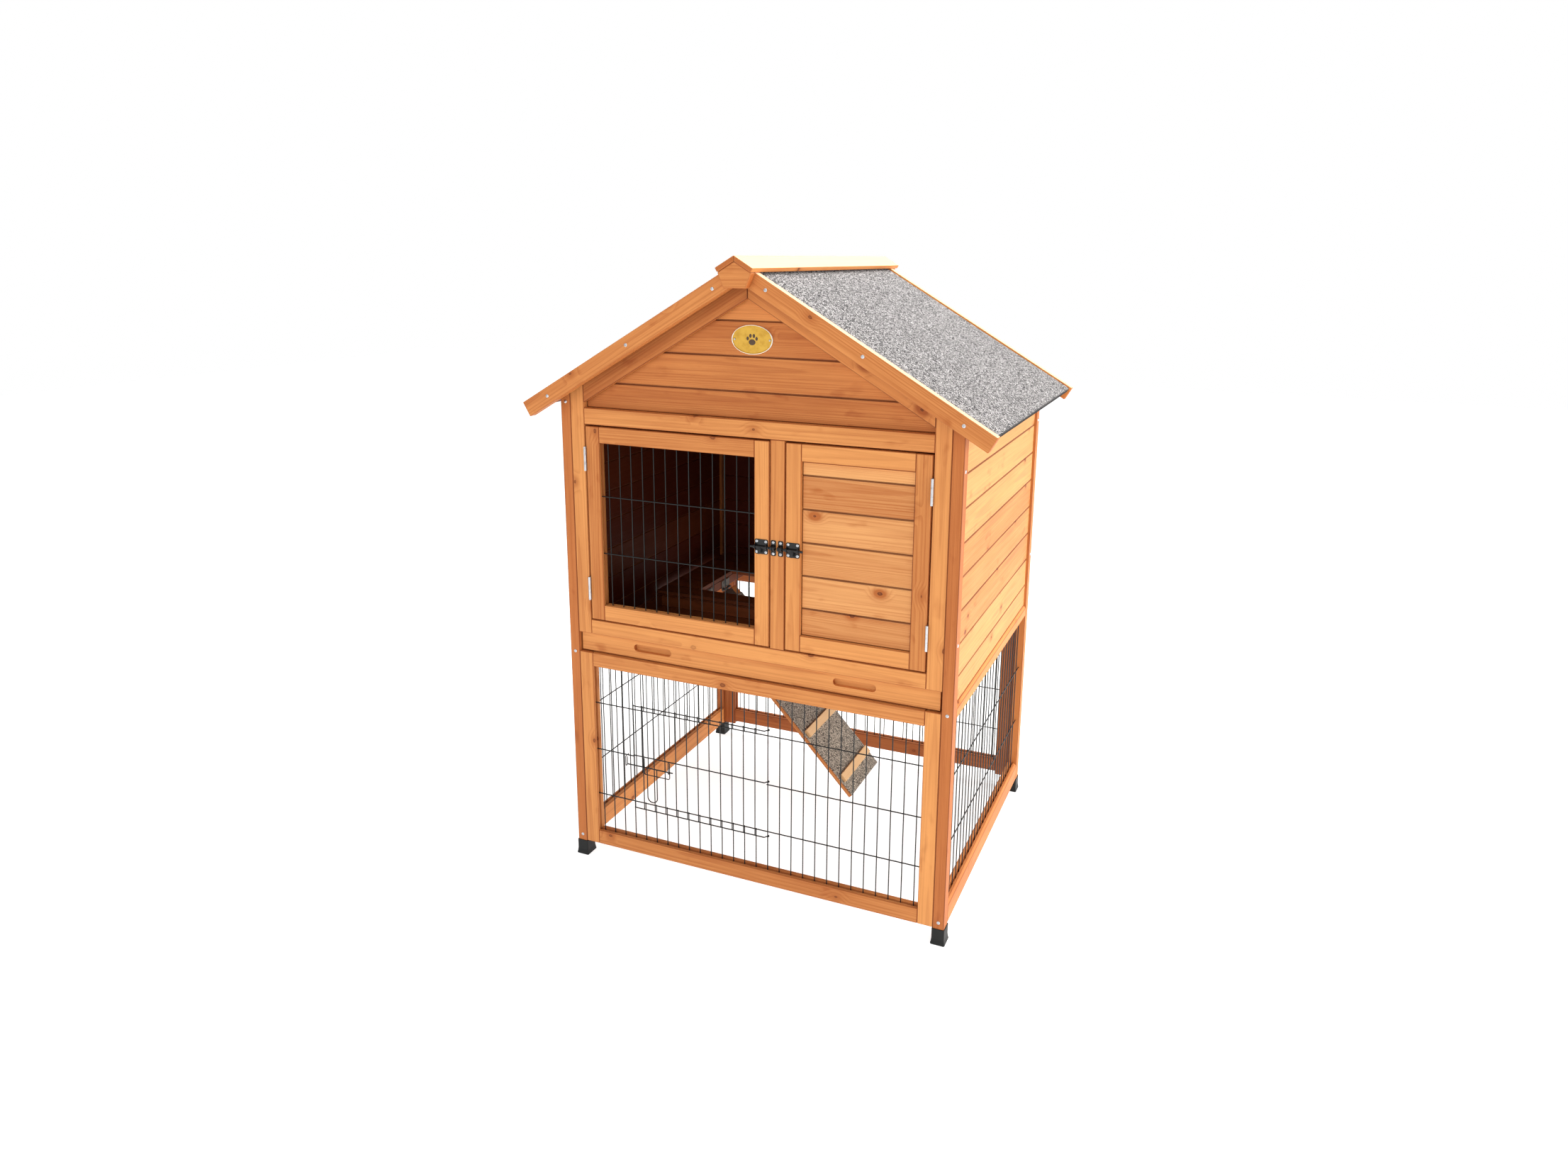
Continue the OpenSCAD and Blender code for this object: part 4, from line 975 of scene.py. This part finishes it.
# ---- Plaque ----
# A small pressed oval with a pale raised rim round a gilt field, and a plain raised paw print. Two tiny
# screws hold its ends to the gable.
def gilt_plaque():
    low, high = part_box("plaque")
    centre = (low + high) / 2
    half_x, half_z = (high.x - low.x) / 2, (high.z - low.z) / 2
    front, back = low.y, high.y
    turns = 96

    def oval(inset, y):
        return [Vector((centre.x + (half_x - inset) * math.cos(math.tau * k / turns), y,
                        centre.z + (half_z - inset) * math.sin(math.tau * k / turns)))
                for k in range(turns)]

    field = back - 0.0010
    rings = [oval(0, back), oval(0, front + 0.0006), oval(0.0005, front), oval(0.0017, front),
             oval(0.0023, front + 0.0005), oval(0.0026, field), oval(0.004, field),
             oval(0.012, field - 0.0001), oval(0.020, field - 0.00015)]
    shape = loft(rings)
    rim = shape.verts.layers.float.new("rim")
    # the rim is marked 1 and the paw print 2
    for vertex in shape.verts:
        away = Vector(((vertex.co.x - centre.x) / half_x, (vertex.co.z - centre.z) / half_z)).length
        vertex[rim] = 1.0 if away > 0.955 and vertex.co.y < field - 0.0003 else 0.0
    pads = []
    pad_turns = 28
    for x, z, wide, tall in ((0, -0.0045, 0.0070, 0.0055), (-0.0088, 0.0020, 0.0026, 0.0036),
                             (-0.0034, 0.0068, 0.0027, 0.0038), (0.0034, 0.0068, 0.0027, 0.0038),
                             (0.0088, 0.0020, 0.0026, 0.0036)):
        rows = []
        for share, rise in ((1.0, -0.0001), (0.9, 0.0003), (0.6, 0.0005), (0.25, 0.00055)):
            rows.append([Vector((centre.x + x + wide * share * math.cos(math.tau * k / pad_turns),
                                 field - 0.0001 - rise,
                                 centre.z + z + tall * share * math.sin(math.tau * k / pad_turns)))
                         for k in range(pad_turns)])
        pad = loft(rows)
        layer = pad.verts.layers.float.new("rim")
        for vertex in pad.verts:
            vertex[layer] = 2.0
        pads.append(pad)
    shape = joined([shape] + pads)
    bmesh.ops.recalc_face_normals(shape, faces=shape.faces)
    material, shader, start = new_material("gilt_field_and_pale_rim")
    mark = start.node("Attribute", {"attribute_name": "rim"}, {}, 2)
    place = start.node("TexCoord", {}, {}, 3)
    hammered = place.noise(900.0, 2.0)
    dull = place.noise(90.0, 4.0, 0.6)
    gilt = dull.between(0.35, 0.8).tint((0.66, 0.40, 0.065), (0.52, 0.29, 0.04))
    colour = (mark.between(0.4, 0.6) * mark.between(1.6, 1.4)).tint(gilt, (0.80, 0.78, 0.70))
    colour = mark.between(1.5, 1.8).tint(colour, (0.07, 0.035, 0.012))
    feed(shader, Base_Color=colour, Metallic=mark.between(0.5, 0.1) * 0.75,
         Roughness=0.34 + dull * 0.25, Normal=bump(hammered, 0.12, 0.0002))
    make_piece(shape, "gilt_oval_plaque", material, "frame", ["plaque"], 40)


gilt_plaque()
screws("plaque_screws", "plaque_cross_screws", "frame", 0.0010)

# ---- Tray ----
# A drawer under the floor for litter: a stained front with two routed finger slots, thin sides and a
# plywood bottom. It lies back a little between the two front rails.
timber("tray_front", front_fir, "tray", ease=0.0016)
timber("tray_walls", shaded_floor_fir, "tray")
timber("tray_floor", shaded_floor_fir, "tray", ease=0.0006)

# ---- Ramp ----
# One wide board with roofing felt glued on it for grip, and four unstained battens across it.
timber("ramp_board", front_fir, "ramp")
pale_fir = stained_fir("pale_fir", (0.86, 0.60, 0.34), (0.66, 0.38, 0.17), (0.74, 0.46, 0.23),
                       contrast=0.7)
timber("ramp_cleats", pale_fir, "ramp", ease=0.001)
ramp_grit = gritted_felt("ramp_grit", (1.0, 0.88, 0.72), 0.14, 560.0)
make_piece(joined(boards_of("ramp_felt")), "ramp_felt_sheet", ramp_grit, "ramp",
           ["ramp_felt"], 40)

# ---- Floor of the studio ----
# A plain pale floor with the faint unevenness of a painted board. It glows a little, so that it comes
# out nearly white round the hutch.
floor_material, floor_shader, floor_start = new_material("pale_floor")
floor_cloud = floor_start.node("TexCoord", {}, {}, 3).noise(0.8, 2.0)
feed(floor_shader, Base_Color=floor_cloud.tint((0.50, 0.50, 0.50), (0.54, 0.54, 0.54)), Roughness=0.7,
     Emission_Color=(1, 1, 1, 1), Emission_Strength=0.8)
floor_mesh.materials.append(floor_material)
